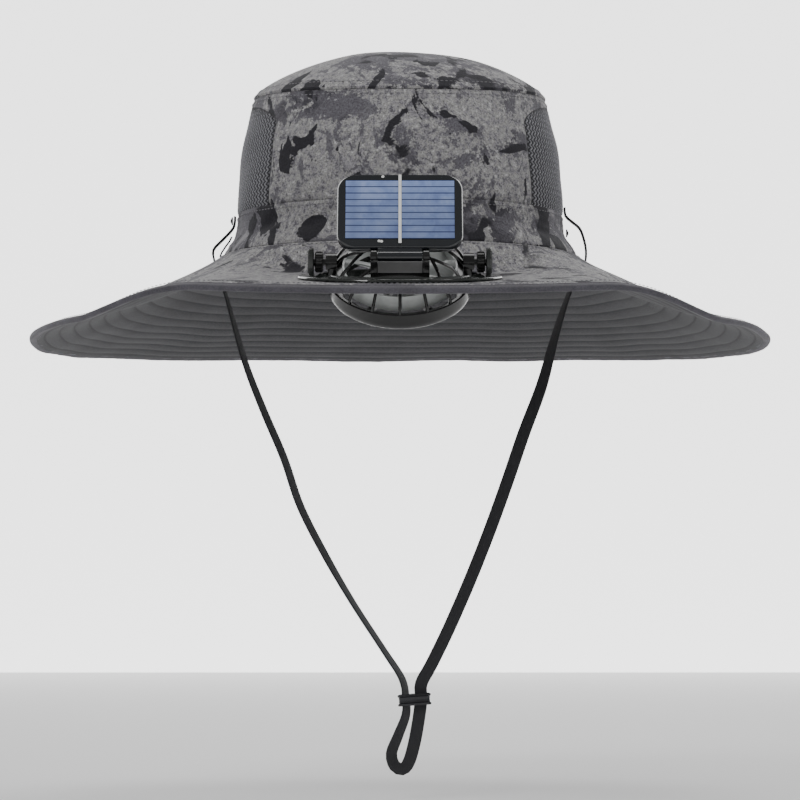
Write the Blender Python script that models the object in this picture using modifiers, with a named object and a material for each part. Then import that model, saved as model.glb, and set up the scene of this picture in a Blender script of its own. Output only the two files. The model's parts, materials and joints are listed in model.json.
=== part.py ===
import math

import bmesh
import bpy
from mathutils import Matrix, Vector

# Solar fan hat: a soft wide-brimmed hat with a tilting fan set in the front of its brim.
# Metres, +Z up. The origin is the centre of the head opening, at the crown's base seam.
# The front of the hat faces -Y. Angles go round the hat from the front towards +X.

# Driving dimensions of the hat
GAP = 0.0003                   # clearance between neighbouring pieces
SEAM_GAP = 0.0004              # clearance along the crown's seams
CLOTH = 0.0016                 # wall of the crown
BRIM_CLOTH = 0.0024            # wall of the brim, two layers quilted
BINDING_CLOTH = 0.0010
CROWN_HALF_WIDTH = 0.0905
CROWN_HALF_LENGTH = 0.1000
CROWN_HEIGHT = 0.1135
SEAM_HEIGHT = 0.0847           # seam between the crown's wall and its tip
SEAM_WAVE = 0.0021             # the seam is this much higher at the sides, lower in front
BAND_HEIGHT = 0.0231
TIP_RIM = 0.0015
TIP_ROUNDNESS = 2.2
TIP_FLATNESS = 0.85
MESH_HALF_ANGLE = 38.0
MESH_ARCH_START = 0.70         # shares of the seam height
MESH_ARCH_TOP = 0.93
BRIM_HALF_WIDTH = 0.2040
BRIM_HALF_LENGTH = 0.2155
BRIM_DROP = 0.0465
BRIM_FLANGE = 0.0040           # flat ring of the brim under the crown's base
FRONT_TURN_DROP = 0.0024       # the front edge turns down by this much
BINDING_WIDTH = 0.0050
BINDING_GAP = 0.0008           # the folded tape clears the cloth that it wraps

# Shares of the brim's width: where the front levels out, and where its edge turns down
FRONT_LEVEL_SHARE = 0.12
EDGE_SHARE = 0.935
FRONT_FULL_ANGLE = 30.0
FRONT_END_ANGLE = 56.0

# Driving dimensions of the fan
FAN_PIVOT = Vector((0.0, -0.1650, -0.0173))
FAN_LEAN = 37.0
DRUM_RADIUS = 0.0370
DRUM_RISE = 0.0125
DRUM_DEPTH = 0.0184
DOME_RISE = 0.0105
DRUM_WALL = 0.0018
DRUM_FOOT_RADIUS = 0.0350
DRUM_TAPER = 0.0044
TAPER_BULGE = 0.3
DRUM_RING_HEIGHT = 0.0099
RIB_WIDTH = 0.0020
FORK_COUNT = 8
FORK_RIB = 0.0015
FORK_RADIUS = 0.0195
BRANCH_RADIUS = 0.0300
HUB_CAP_RADIUS = 0.0090
SHAFT_RADIUS = 0.0015
GUARD_THICKNESS = 0.0020
ROTOR_RADIUS = 0.0295
ROTOR_DROP = 0.0065             # the rotor's middle lies this far below the pivots
ROTOR_HUB_RADIUS = 0.0085
ROTOR_HALF_HEIGHT = 0.0045
ROTOR_SHROUD = 0.0012
BLADE_COUNT = 9
BLADE_THICKNESS = 0.0012
BLADE_PITCH = 34.0
PIN_RADIUS = 0.0020
KNOB_RADIUS = 0.0050
KNOB_LENGTH = 0.0042

# Driving dimensions of the plate in the brim
PLATE_LEAN = 8.2
PLATE_DROP = 0.0067            # the plate's face lies this far under the fan's pivot
PLATE_THICKNESS = 0.0016
PLATE_HALF_WIDTH = 0.0525
PLATE_HALF_LENGTH = 0.0430
PLATE_HOLE_RADIUS = 0.0400
COLLAR_WALL = 0.0012
COLLAR_DEPTH = 0.0052
EAR_THICKNESS = 0.0025
EAR_WIDTH = 0.0120
EAR_HEIGHT = 0.0138
EAR_INSET = 0.0440

# Driving dimensions of the solar panel and its stand
PEDESTAL_FOOT = 0.0006
PANEL_WIDTH = 0.0635
PANEL_HEIGHT = 0.0445
PANEL_THICKNESS = 0.0055
PANEL_CORNER = 0.0090
PANEL_LEAN_BACK = 27.0
PANEL_EDGE_TO_HINGE = 0.0035
CELL_WIDTH = 0.0550
CELL_HEIGHT = 0.0350
CELL_THICKNESS = 0.0005
CELL_RISE = 0.0055             # bare case under the cell
BUSBAR_WIDTH = 0.0015
BUSBAR_LENGTH = 0.0410
BUSBAR_THICKNESS = 0.0003
STAND_WIDTH = 0.0296
STAND_DEPTH = 0.0081
CHEEK_THICKNESS = 0.0033
STAND_BASE = 0.0027
STAND_SETBACK = 0.0262         # the hinge lies this far in front of the drum's axis
HINGE_RISE = 0.0067            # and this far over the stand's foot
HINGE_EYE_RADIUS = 0.0032
BARREL_RADIUS = 0.0026
HINGE_PIN_RADIUS = 0.0013
FACE_PLATE_THICKNESS = 0.0008

# Driving dimensions of the chin tape
TAPE_WIDTH = 0.0070
TAPE_THICKNESS = 0.0010
TAPE_STEP = 0.0145             # longest stretch between two points of the tape
SLOT_X = 0.1025
SLOT_LENGTH = 0.0090
SLOT_WIDTH = 0.0030
KEEPER_RADIUS = 0.0005
LOCK_LENGTH = 0.0186
LOCK_DEPTH = 0.0094
LOCK_HEIGHT = 0.0065
LOCK_WALL = 0.0012
LOCK_CORNER = 0.0022
SNAP_RADIUS = 0.0022
SNAP_THICKNESS = 0.0012

# Facets
RING_COLUMNS = 44
PANEL_COLUMNS = 12
MESH_COLUMNS = 8
TIP_COLUMNS = 28
ROUND_STEPS = 36
DRUM_STEPS = 18

# Crown wall from base to tip seam: height share, width share, length share
CROWN_SECTIONS = (
    (0.000, 1.088, 1.050),
    (0.014, 1.088, 1.050),
    (0.055, 1.060, 1.035),
    (0.115, 1.022, 1.014),
    (0.190, 1.005, 1.003),
    (0.360, 1.000, 1.000),
    (0.520, 0.986, 0.985),
    (0.700, 0.968, 0.958),
    (0.840, 0.938, 0.922),
    (0.930, 0.916, 0.898),
    (1.000, 0.900, 0.880),
)

# Side profile of the brim: width share, drop share
BRIM_PROFILE = (
    (0.000, 0.000),
    (0.109, 0.155),
    (0.346, 0.420),
    (0.602, 0.685),
    (0.773, 0.828),
    (1.000, 1.000),
)

# How far the brim's edge hangs round the hat: angle, drop share
BRIM_SAG = (
    (0.0, 0.930),
    (60.0, 0.930),
    (75.0, 0.970),
    (102.0, 1.040),
    (130.0, 1.000),
    (150.0, 0.935),
    (180.0, 0.895),
)

# Soft folds in the crown: angle, height share, half angle, half height share, lean, depth share
CROWN_FOLDS = (
    (-44.0, 0.20, 16.0, 0.050, 0.0060, 0.022),
    (-30.0, 0.15, 14.0, 0.045, 0.0050, 0.018),
    (38.0, 0.20, 18.0, 0.055, -0.0040, 0.014),
    (-62.0, 0.62, 14.0, 0.120, 0.0000, 0.010),
    (20.0, 0.55, 22.0, 0.100, 0.0030, 0.008),
    (150.0, 0.30, 20.0, 0.080, 0.0030, 0.016),
    (-140.0, 0.45, 18.0, 0.090, -0.0040, 0.014),
)

# The cage's dome from the ring to the hub cap: radius as a share of DRUM_RADIUS, height as a share of its rise
DOME_PROFILE = ((1.0, 0.0), (0.924, 0.21), (0.810, 0.58), (0.540, 0.89), (0.257, 1.0))
BRIM_ROWS = (1.0, EDGE_SHARE, 0.78, 0.60, 0.42, 0.26, FRONT_LEVEL_SHARE, 0.06, 0.0)
WALL_ROWS = (0.0, 0.20, 0.40, 0.60, 0.75)
ARCH_STEPS = (0.0, 25.0, 50.0, 72.0, 90.0)
TIP_RINGS = (1.0, 0.92, 0.78, 0.56, 0.30, 0.0)

# Chin tape, chosen points from the crown's left side to its right side: x, z, turn in degrees.
# A turn of 0 has the tape's width along Y, a turn of 90 has its flat side to the front.
TAPE_ROUTE = (
    (-0.0919, 0.0230, 0.0),
    (-0.0923, 0.0180, 0.0),
    (-0.0944, 0.0146, 0.0),
    (-0.0990, 0.0098, 0.0),
    (-0.1040, 0.0042, 0.0),
    (-0.1032, -0.0024, 0.0),
    (-0.1017, -0.0060, 0.0),
    (-0.0967, -0.0219, 10.0),
    (-0.0862, -0.0581, 24.0),
    (-0.0759, -0.0849, 30.0),
    (-0.0645, -0.1116, 32.0),
    (-0.0553, -0.1383, 32.0),
    (-0.0417, -0.1651, 30.0),
    (-0.0261, -0.1918, 24.0),
    (-0.0086, -0.2186, 24.0),
    (0.0012, -0.2340, 28.0),
    (0.0032, -0.2453, 32.0),
    (0.0032, -0.2540, 40.0),
    (-0.0011, -0.2654, 50.0),
    (-0.0047, -0.2750, 60.0),
    (-0.0030, -0.2818, 66.0),
    (0.0014, -0.2838, 72.0),
    (0.0050, -0.2795, 78.0),
    (0.0080, -0.2690, 84.0),
    (0.0102, -0.2570, 88.0),
    (0.0117, -0.2453, 90.0),
    (0.0118, -0.2365, 90.0),
    (0.0178, -0.2252, 90.0),
    (0.0275, -0.2052, 90.0),
    (0.0392, -0.1784, 90.0),
    (0.0498, -0.1517, 90.0),
    (0.0595, -0.1250, 86.0),
    (0.0687, -0.0982, 80.0),
    (0.0787, -0.0715, 60.0),
    (0.0860, -0.0450, 34.0),
    (0.0934, -0.0219, 16.0),
    (0.1012, -0.0060, 0.0),
    (0.1032, -0.0024, 0.0),
    (0.1036, 0.0042, 0.0),
    (0.1023, 0.0108, 0.0),
    (0.1000, 0.0165, 0.0),
    (0.0952, 0.0206, 0.0),
    (0.0922, 0.0236, 0.0),
    (0.0917, 0.0280, 0.0),
)

# Thin keeper strand beside the left side of the crown: x, z
KEEPER_ROUTE = (
    (-0.0937, 0.0118),
    (-0.0950, 0.0092),
    (-0.0972, 0.0062),
    (-0.0993, 0.0030),
    (-0.1003, 0.0006),
)

LOCK_CENTRE = Vector((0.0080, 0.0, -0.2453))
LOCK_TILT = -4.0
SNAP_LEFT_HEIGHT = 0.0205
SNAP_RIGHT_HEIGHT = 0.0137


# Scene and collections

def clear_scene():
    for item in list(bpy.data.objects):
        bpy.data.objects.remove(item, do_unlink=True)


def new_collection(name):
    collection = bpy.data.collections.new(name)
    bpy.context.scene.collection.children.link(collection)
    return collection


clear_scene()
PARTS = new_collection("solar_fan_hat")
CUTTERS = new_collection("cutters")


def new_material(name, colour, roughness, metallic=0.0):
    material = bpy.data.materials.new(name)
    material.use_nodes = True
    shader = material.node_tree.nodes["Principled BSDF"]
    shader.inputs["Base Color"].default_value = (*colour, 1.0)
    shader.inputs["Roughness"].default_value = roughness
    shader.inputs["Metallic"].default_value = metallic
    return material


def add_part(name, data, material, parent=None):
    part = bpy.data.objects.new(name, data)
    data.materials.append(material)
    PARTS.objects.link(part)
    part.parent = parent
    return part


def add_tool(name, data, parent=None):
    tool = bpy.data.objects.new(name, data)
    CUTTERS.objects.link(tool)
    tool.parent = parent
    tool.hide_render = True
    tool.display_type = "WIRE"
    return tool


def add_frame(name, location, lean, parent=None):
    frame = bpy.data.objects.new(name, None)
    PARTS.objects.link(frame)
    frame.parent = parent
    frame.location = location
    frame.rotation_euler = (math.radians(lean), 0.0, 0.0)
    return frame


def boolean(part, tool, operation="DIFFERENCE"):
    modifier = part.modifiers.new(tool.name, "BOOLEAN")
    modifier.operation = operation
    modifier.solver = "EXACT"
    modifier.object = tool


def solidify(part, thickness):
    modifier = part.modifiers.new("wall", "SOLIDIFY")
    modifier.thickness = thickness
    modifier.offset = -1.0
    modifier.use_even_offset = True


def smooth(part, angle=35.0):
    part.data.shade_smooth()
    part.data.set_sharp_from_angle(angle=math.radians(angle))


# Meshes

def finish_mesh(shape, name, outward=True):
    if outward:
        bmesh.ops.recalc_face_normals(shape, faces=shape.faces)
    data = bpy.data.meshes.new(name)
    shape.to_mesh(data)
    shape.free()
    return data


def sheet_mesh(name, columns, rows, place, outward=False):
    # place takes the share across and the row number
    shape = bmesh.new()
    bmesh.ops.create_grid(shape, x_segments=columns, y_segments=rows, size=0.5)
    for vert in shape.verts:
        vert.co = place(vert.co.x + 0.5, round((vert.co.y + 0.5) * rows))
    bmesh.ops.remove_doubles(shape, verts=shape.verts, dist=0.000001)
    return finish_mesh(shape, name, outward)


def box_into(shape, low, high):
    size = Vector(high) - Vector(low)
    middle = (Vector(high) + Vector(low)) / 2
    matrix = Matrix.Translation(middle) @ Matrix.Diagonal((*size, 1.0))
    return bmesh.ops.create_cube(shape, size=1.0, matrix=matrix)["verts"]


def box_mesh(name, low, high):
    shape = bmesh.new()
    box_into(shape, low, high)
    return finish_mesh(shape, name)


def rod_mesh(name, radius, start, end, axis="Z", steps=ROUND_STEPS):
    shape = bmesh.new()
    turn = {"X": Matrix.Rotation(math.radians(90), 4, "Y"), "Z": Matrix.Identity(4)}[axis]
    middle = turn @ Matrix.Translation((0.0, 0.0, (start + end) / 2))
    bmesh.ops.create_cone(shape, cap_ends=True, segments=steps, radius1=radius, radius2=radius,
                          depth=end - start, matrix=middle)
    return finish_mesh(shape, name)


def axle_mesh(name, profile, side, steps=16):
    """A profile of (radius, distance) points turned round the X axis, on one side of the middle."""
    shape = bmesh.new()
    points = [shape.verts.new((side * along, radius, 0.0)) for radius, along in profile]
    edges = [shape.edges.new(pair) for pair in zip(points, points[1:])]
    bmesh.ops.spin(shape, geom=points + edges, cent=(0.0, 0.0, 0.0), axis=(1.0, 0.0, 0.0),
                   angle=2.0 * math.pi, steps=steps, use_merge=True)
    bmesh.ops.remove_doubles(shape, verts=shape.verts, dist=0.000001)
    return finish_mesh(shape, name)


def prism_mesh(name, outlines, start, end):
    """Upright prisms over closed outlines of (x, y) points, from start to end in Z."""
    shape = bmesh.new()
    for outline in outlines:
        face = shape.faces.new([shape.verts.new((x, y, start)) for x, y in outline])
        grown = bmesh.ops.extrude_face_region(shape, geom=[face])["geom"]
        top = [item for item in grown if isinstance(item, bmesh.types.BMVert)]
        bmesh.ops.translate(shape, verts=top, vec=(0.0, 0.0, end - start))
    return finish_mesh(shape, name)


def turned_part(name, profile, material, parent, steps=ROUND_STEPS):
    """A profile of (radius, height) points, top to bottom, turned round Z."""
    shape = bmesh.new()
    points = [shape.verts.new((radius, 0.0, height)) for radius, height in profile]
    for upper, lower in zip(points, points[1:]):
        shape.edges.new((upper, lower))
    part = add_part(name, finish_mesh(shape, name, outward=False), material, parent)
    modifier = part.modifiers.new("turn", "SCREW")
    modifier.axis = "Z"
    modifier.steps = modifier.render_steps = steps
    modifier.use_merge_vertices = True
    modifier.merge_threshold = 0.00001
    modifier.use_smooth_shade = True
    return part


# Shapes of the hat

def table_value(table, key, column):
    for lower, upper in zip(table, table[1:]):
        if key <= upper[0]:
            share = max(0.0, (key - lower[0]) / (upper[0] - lower[0]))
            return lower[column] + share * (upper[column] - lower[column])
    return table[-1][column]


def ease(share):
    share = min(1.0, max(0.0, share))
    return share * share * (3.0 - 2.0 * share)


def seam_height(angle):
    return SEAM_HEIGHT - SEAM_WAVE * math.cos(2.0 * angle)


def fold_depth(angle, share):
    depth = 0.0
    for fold_angle, height, half_angle, half_height, lean, fold in CROWN_FOLDS:
        across = (math.degrees(angle) - fold_angle + 180.0) % 360.0 - 180.0
        along = share - height - lean * across
        depth += fold * math.exp(-(across / half_angle) ** 2 - (along / half_height) ** 2)
    return depth


def crown_point(angle, height):
    share = height / seam_height(angle)
    pinch = 1.0 - fold_depth(angle, share)
    half_width = CROWN_HALF_WIDTH * table_value(CROWN_SECTIONS, share, 1) * pinch
    half_length = CROWN_HALF_LENGTH * table_value(CROWN_SECTIONS, share, 2) * pinch
    return Vector((half_width * math.sin(angle), -half_length * math.cos(angle), height))


BASE_HALF_WIDTH = CROWN_HALF_WIDTH * CROWN_SECTIONS[0][1]
BASE_HALF_LENGTH = CROWN_HALF_LENGTH * CROWN_SECTIONS[0][2]
PLATE_NORMAL = Vector((0.0, -math.sin(math.radians(PLATE_LEAN)), math.cos(math.radians(PLATE_LEAN))))
PLATE_CENTRE = FAN_PIVOT - PLATE_DROP * PLATE_NORMAL


def plate_seat(y):
    """Height of the brim's face under the plate."""
    under = (PLATE_THICKNESS + GAP) / PLATE_NORMAL.z
    return PLATE_CENTRE.z + math.tan(math.radians(PLATE_LEAN)) * (y - PLATE_CENTRE.y) - under


def brim_point(angle, share):
    half_width = BASE_HALF_WIDTH + share * (BRIM_HALF_WIDTH - BASE_HALF_WIDTH)
    half_length = BASE_HALF_LENGTH + share * (BRIM_HALF_LENGTH - BASE_HALF_LENGTH)
    x, y = half_width * math.sin(angle), -half_length * math.cos(angle)
    from_front = abs((math.degrees(angle) + 180.0) % 360.0 - 180.0)
    sag = table_value(BRIM_SAG, from_front, 1)
    side = -BRIM_DROP * sag * table_value(BRIM_PROFILE, share, 1)
    front = plate_seat(y) * ease(share / FRONT_LEVEL_SHARE)
    front -= FRONT_TURN_DROP * max(0.0, (share - EDGE_SHARE) / (1.0 - EDGE_SHARE))
    blend = ease((FRONT_END_ANGLE - from_front) / (FRONT_END_ANGLE - FRONT_FULL_ANGLE))
    return Vector((x, y, side + blend * (front - side)))


def full_turn(share):
    return 2.0 * math.pi * share


# Crown

def make_crown_band(material):
    rows = [section[0] for section in CROWN_SECTIONS[:4]]

    def place(share, row):
        angle = full_turn(share)
        if row == len(rows):
            return crown_point(angle, BAND_HEIGHT - SEAM_GAP)
        point = crown_point(angle, rows[row] * SEAM_HEIGHT)
        point.z += GAP
        return point

    band = add_part("crown_band", sheet_mesh("crown_band", RING_COLUMNS, len(rows), place), material)
    solidify(band, CLOTH)
    smooth(band)


def wall_rows(angle_gap, height_gap):
    """Rows of the crown's wall: height share over the band, half angle of the mesh, lowering."""
    arch_start = MESH_ARCH_START
    rows = [(share * arch_start / WALL_ROWS[-1], MESH_HALF_ANGLE - angle_gap, 0.0) for share in WALL_ROWS]
    for step in ARCH_STEPS[1:]:
        turn = math.radians(step)
        share = arch_start + (MESH_ARCH_TOP - arch_start) * math.sin(turn)
        half_angle = (MESH_HALF_ANGLE - angle_gap) * math.cos(turn)
        rows.append((share, half_angle, height_gap * math.sin(turn)))
    return rows


def wall_height(angle, share):
    return BAND_HEIGHT + share * (seam_height(angle) - BAND_HEIGHT)


def make_crown_panel(name, middle, material):
    seam_angle = math.degrees(SEAM_GAP / 2 / CROWN_HALF_WIDTH)
    rows = wall_rows(0.0, 0.0) + [(1.0, 0.0, 0.0)]

    def place(share, row):
        height_share, mesh_half, _ = rows[row]
        half = 90.0 - max(mesh_half, seam_angle)
        angle = math.radians(middle + (2.0 * share - 1.0) * half)
        return crown_point(angle, wall_height(angle, height_share))

    panel = add_part(name, sheet_mesh(name, PANEL_COLUMNS, len(rows) - 1, place), material)
    solidify(panel, CLOTH)
    smooth(panel)


def make_mesh_panel(name, middle, material):
    rows = wall_rows(math.degrees(SEAM_GAP / CROWN_HALF_WIDTH), SEAM_GAP)

    def place(share, row):
        height_share, mesh_half, lower = rows[row]
        angle = math.radians(middle + (2.0 * share - 1.0) * mesh_half)
        return crown_point(angle, wall_height(angle, height_share) - lower)

    panel = add_part(name, sheet_mesh(name, MESH_COLUMNS, len(rows) - 1, place), material)
    solidify(panel, CLOTH)
    smooth(panel)


def make_crown_tip(material):
    def place(share, row):
        angle = full_turn(share)
        foot = seam_height(angle) + SEAM_GAP
        ring = TIP_RINGS[max(0, row - 1)]
        edge = crown_point(angle, seam_height(angle))
        dome = (1.0 - ring ** TIP_ROUNDNESS) ** TIP_FLATNESS
        rise = foot + TIP_RIM if row else foot
        return Vector((edge.x * ring, edge.y * ring, rise + (CROWN_HEIGHT - rise) * dome))

    tip = add_part("crown_tip", sheet_mesh("crown_tip", TIP_COLUMNS, len(TIP_RINGS), place), material)
    solidify(tip, CLOTH)
    smooth(tip)


# Brim

def make_brim(material):
    def place(share, row):
        angle = full_turn(share)
        if row < len(BRIM_ROWS):
            return brim_point(angle, BRIM_ROWS[row])
        inner = brim_point(angle, 0.0)
        inner.x -= BRIM_FLANGE * math.sin(angle)
        inner.y += BRIM_FLANGE * math.cos(angle)
        return inner

    brim = add_part("brim", sheet_mesh("brim", RING_COLUMNS, len(BRIM_ROWS), place), material)
    solidify(brim, BRIM_CLOTH)
    hole_radius = PLATE_HOLE_RADIUS + COLLAR_WALL + GAP
    hole = add_tool("fan_hole", rod_mesh("fan_hole", hole_radius, -0.02, 0.02))
    hole.location = PLATE_CENTRE
    hole.rotation_euler = (math.radians(PLATE_LEAN), 0.0, 0.0)
    boolean(brim, hole)
    for side in (-1, 1):
        low = (side * SLOT_X - SLOT_WIDTH / 2, -SLOT_LENGTH / 2, -3 * SLOT_WIDTH)
        high = (side * SLOT_X + SLOT_WIDTH / 2, SLOT_LENGTH / 2, SLOT_WIDTH)
        boolean(brim, add_tool("tape_slot", box_mesh("tape_slot", low, high)))
    smooth(brim)


def make_binding(material):
    outer = BINDING_GAP + BINDING_CLOTH
    under = BRIM_CLOTH + BINDING_GAP
    # Section round the brim's edge: distance outwards, distance over the brim's face
    section = (
        (-BINDING_WIDTH, BINDING_GAP),
        (-BINDING_WIDTH, outer),
        (0.0, outer),
        (outer, 0.0),
        (outer, -BRIM_CLOTH),
        (0.0, -under - BINDING_CLOTH),
        (-BINDING_WIDTH, -under - BINDING_CLOTH),
        (-BINDING_WIDTH, -under),
        (BINDING_GAP, -under),
        (BINDING_GAP, BINDING_GAP),
    )

    def place(share, row):
        angle = full_turn(share)
        edge = brim_point(angle, 1.0)
        outwards = (edge - brim_point(angle, EDGE_SHARE)).normalized()
        along = (brim_point(angle + 0.01, 1.0) - brim_point(angle - 0.01, 1.0)).normalized()
        outwards = (outwards - along * outwards.dot(along)).normalized()
        out, over = section[row % len(section)]
        return edge + outwards * out + outwards.cross(along) * over

    data = sheet_mesh("brim_binding", RING_COLUMNS, len(section), place, outward=True)
    smooth(add_part("brim_binding", data, material))


# Plate in the brim

def make_mount_plate(material):
    frame = add_frame("plate_frame", PLATE_CENTRE, PLATE_LEAN)
    outline = []
    for step in range(RING_COLUMNS):
        angle = full_turn(step / RING_COLUMNS)
        outline.append((PLATE_HALF_WIDTH * math.sin(angle), -PLATE_HALF_LENGTH * math.cos(angle)))
    plate = add_part("mount_plate", prism_mesh("mount_plate", [outline], -PLATE_THICKNESS, 0.0), material, frame)
    collar_radius = PLATE_HOLE_RADIUS + COLLAR_WALL
    collar = rod_mesh("collar", collar_radius, -COLLAR_DEPTH, -PLATE_THICKNESS / 2)
    boolean(plate, add_tool("collar", collar, frame), "UNION")
    hole = rod_mesh("plate_hole", PLATE_HOLE_RADIUS, -2 * COLLAR_DEPTH, COLLAR_DEPTH)
    boolean(plate, add_tool("plate_hole", hole, frame))
    for side in (-1, 1):
        near, far = sorted((side * EAR_INSET, side * (EAR_INSET + EAR_THICKNESS)))
        ear = box_mesh("ear", (near, -EAR_WIDTH / 2, -PLATE_THICKNESS / 2), (far, EAR_WIDTH / 2, EAR_HEIGHT))
        boolean(plate, add_tool("ear", ear, frame), "UNION")
    eyes = rod_mesh("ear_eyes", PIN_RADIUS + GAP, -PLATE_HALF_WIDTH, PLATE_HALF_WIDTH, "X", 16)
    eye_tool = add_tool("ear_eyes", eyes, frame)
    eye_tool.location = (0.0, 0.0, PLATE_DROP)
    boolean(plate, eye_tool)
    smooth(plate)


# Fan

DRUM_TOP = DRUM_RISE
DRUM_INSIDE = DRUM_RADIUS - DRUM_WALL
DRUM_LEDGE = DRUM_TAPER - DRUM_DEPTH
RING_TOP = DRUM_RING_HEIGHT - DRUM_DEPTH
STAND_FOOT = DRUM_TOP + GAP
STAND_BACK = -STAND_SETBACK + HINGE_EYE_RADIUS
STAND_FRONT = STAND_BACK - STAND_DEPTH


def polar(radius, angle):
    return (radius * math.cos(angle), radius * math.sin(angle))


def fork_openings():
    """Openings of the cage between its forked ribs, which run down into the ring."""
    pitch = 2.0 * math.pi / FORK_COUNT
    outside = DRUM_RADIUS + DRUM_WALL
    rib_hub, rib_fork = FORK_RIB / 2 / HUB_CAP_RADIUS, FORK_RIB / 2 / FORK_RADIUS
    post_in, post_out = RIB_WIDTH / 2 / BRANCH_RADIUS, RIB_WIDTH / 2 / outside
    outlines = []
    for step in range(FORK_COUNT):
        rib = (step + 0.25) * pitch
        post, next_post, next_rib = rib + pitch / 4, rib + 3 * pitch / 4, rib + pitch
        outlines.append([
            polar(HUB_CAP_RADIUS, rib + rib_hub),
            polar(FORK_RADIUS, rib + 1.3 * rib_fork),
            polar(BRANCH_RADIUS, post + post_in),
            polar(outside, post + post_out),
            polar(outside, (post + next_post) / 2),
            polar(outside, next_post - post_out),
            polar(BRANCH_RADIUS, next_post - post_in),
            polar(FORK_RADIUS, next_rib - 1.3 * rib_fork),
            polar(HUB_CAP_RADIUS, next_rib - rib_hub),
        ])
        outlines.append([
            polar(FORK_RADIUS + 2.2 * FORK_RIB, rib),
            polar(BRANCH_RADIUS, post - post_in),
            polar(outside, post - post_out),
            polar(outside, rib),
            polar(outside, rib - pitch / 4 + post_out),
            polar(BRANCH_RADIUS, rib - pitch / 4 + post_in),
        ])
    return outlines


def inner_profile(profile):
    """The profile moved inwards by the drum's wall."""
    moved = []
    for index, (radius, height) in enumerate(profile):
        before, after = profile[max(0, index - 1)], profile[min(len(profile) - 1, index + 1)]
        run, rise = after[0] - before[0], after[1] - before[1]
        share = DRUM_WALL / math.hypot(run, rise)
        moved.append((radius - rise * share, height + run * share))
    return moved


def make_housing(frame, material):
    height = DOME_RISE - RING_TOP
    dome = [(DRUM_RADIUS * width, RING_TOP + height * share) for width, share in DOME_PROFILE]
    inside = inner_profile(dome)
    bulge = (DRUM_RADIUS - TAPER_BULGE * (DRUM_RADIUS - DRUM_FOOT_RADIUS), DRUM_LEDGE - DRUM_TAPER / 2)
    profile = [(0.0, DOME_RISE), *reversed(dome), (DRUM_RADIUS, DRUM_LEDGE), bulge,
               (DRUM_FOOT_RADIUS, -DRUM_DEPTH), (DRUM_FOOT_RADIUS - DRUM_WALL, -DRUM_DEPTH),
               (DRUM_INSIDE, DRUM_LEDGE), (DRUM_INSIDE, RING_TOP), *inside[1:], (0.0, inside[-1][1])]
    drum = turned_part("fan_housing", profile, material, frame, DRUM_STEPS)
    openings = prism_mesh("cage_openings", fork_openings(), RING_TOP, DRUM_TOP)
    boolean(drum, add_tool("cage_openings", openings, frame))

    low = RING_TOP - DRUM_RING_HEIGHT / 4
    inner, outer = ROTOR_RADIUS + DRUM_WALL, DRUM_RADIUS + GAP
    knob_end = EAR_INSET - 2 * GAP
    knob_start = knob_end - KNOB_LENGTH
    boss, boss_end = KNOB_RADIUS - GAP, DRUM_RADIUS + DRUM_WALL / 2
    profile = [(0.0, inner), (boss, inner), (boss, boss_end), (PIN_RADIUS, boss_end),
               (PIN_RADIUS, knob_start), (KNOB_RADIUS, knob_start), (KNOB_RADIUS, knob_end),
               (PIN_RADIUS, knob_end), (PIN_RADIUS, EAR_INSET + EAR_THICKNESS), (0.0, EAR_INSET + EAR_THICKNESS)]
    for side in (-1, 1):
        near, far = sorted((side * inner, side * outer))
        block = box_mesh("pivot_block", (near, -0.9 * boss, low), (far, 0.9 * boss, 0.0))
        boolean(drum, add_tool("pivot_block", block, frame), "UNION")
        boolean(drum, add_tool("trunnion", axle_mesh("trunnion", profile, side), frame), "UNION")
    half = STAND_WIDTH / 2
    pedestal = box_mesh("pedestal", (-half, STAND_FRONT, PEDESTAL_FOOT), (half, STAND_BACK, DRUM_TOP))
    boolean(drum, add_tool("pedestal", pedestal, frame), "UNION")
    smooth(drum)


def make_guard(frame, material):
    foot = DRUM_LEDGE + GAP
    seat = foot + GUARD_THICKNESS
    shaft_top = ROTOR_HALF_HEIGHT / 2 - ROTOR_DROP
    collar = -ROTOR_HALF_HEIGHT - ROTOR_DROP - GAP
    edge = DRUM_INSIDE - GAP / math.cos(math.pi / DRUM_STEPS)
    profile = [(0.0, shaft_top), (SHAFT_RADIUS, shaft_top), (SHAFT_RADIUS, collar),
               (3 * SHAFT_RADIUS, collar), (3 * SHAFT_RADIUS, seat), (edge, seat), (edge, foot), (0.0, foot)]
    guard = turned_part("fan_guard", profile, material, frame, DRUM_STEPS)
    count = 6
    pitch = 2.0 * math.pi / count
    outlines = []
    inner, outer = ROTOR_HUB_RADIUS, 0.92 * edge
    trim_in, trim_out = FORK_RIB / inner, FORK_RIB / outer
    for step in range(count):
        arc = [step * pitch + trim_out + share * (pitch - 2 * trim_out) for share in (0, 0.5, 1)]
        back = [(step + 1) * pitch - trim_in, step * pitch + trim_in]
        outlines.append([polar(outer, angle) for angle in arc] + [polar(inner, angle) for angle in back])
    openings = prism_mesh("guard_openings", outlines, foot - GUARD_THICKNESS, seat + GAP)
    boolean(guard, add_tool("guard_openings", openings, frame))
    smooth(guard)


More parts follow.
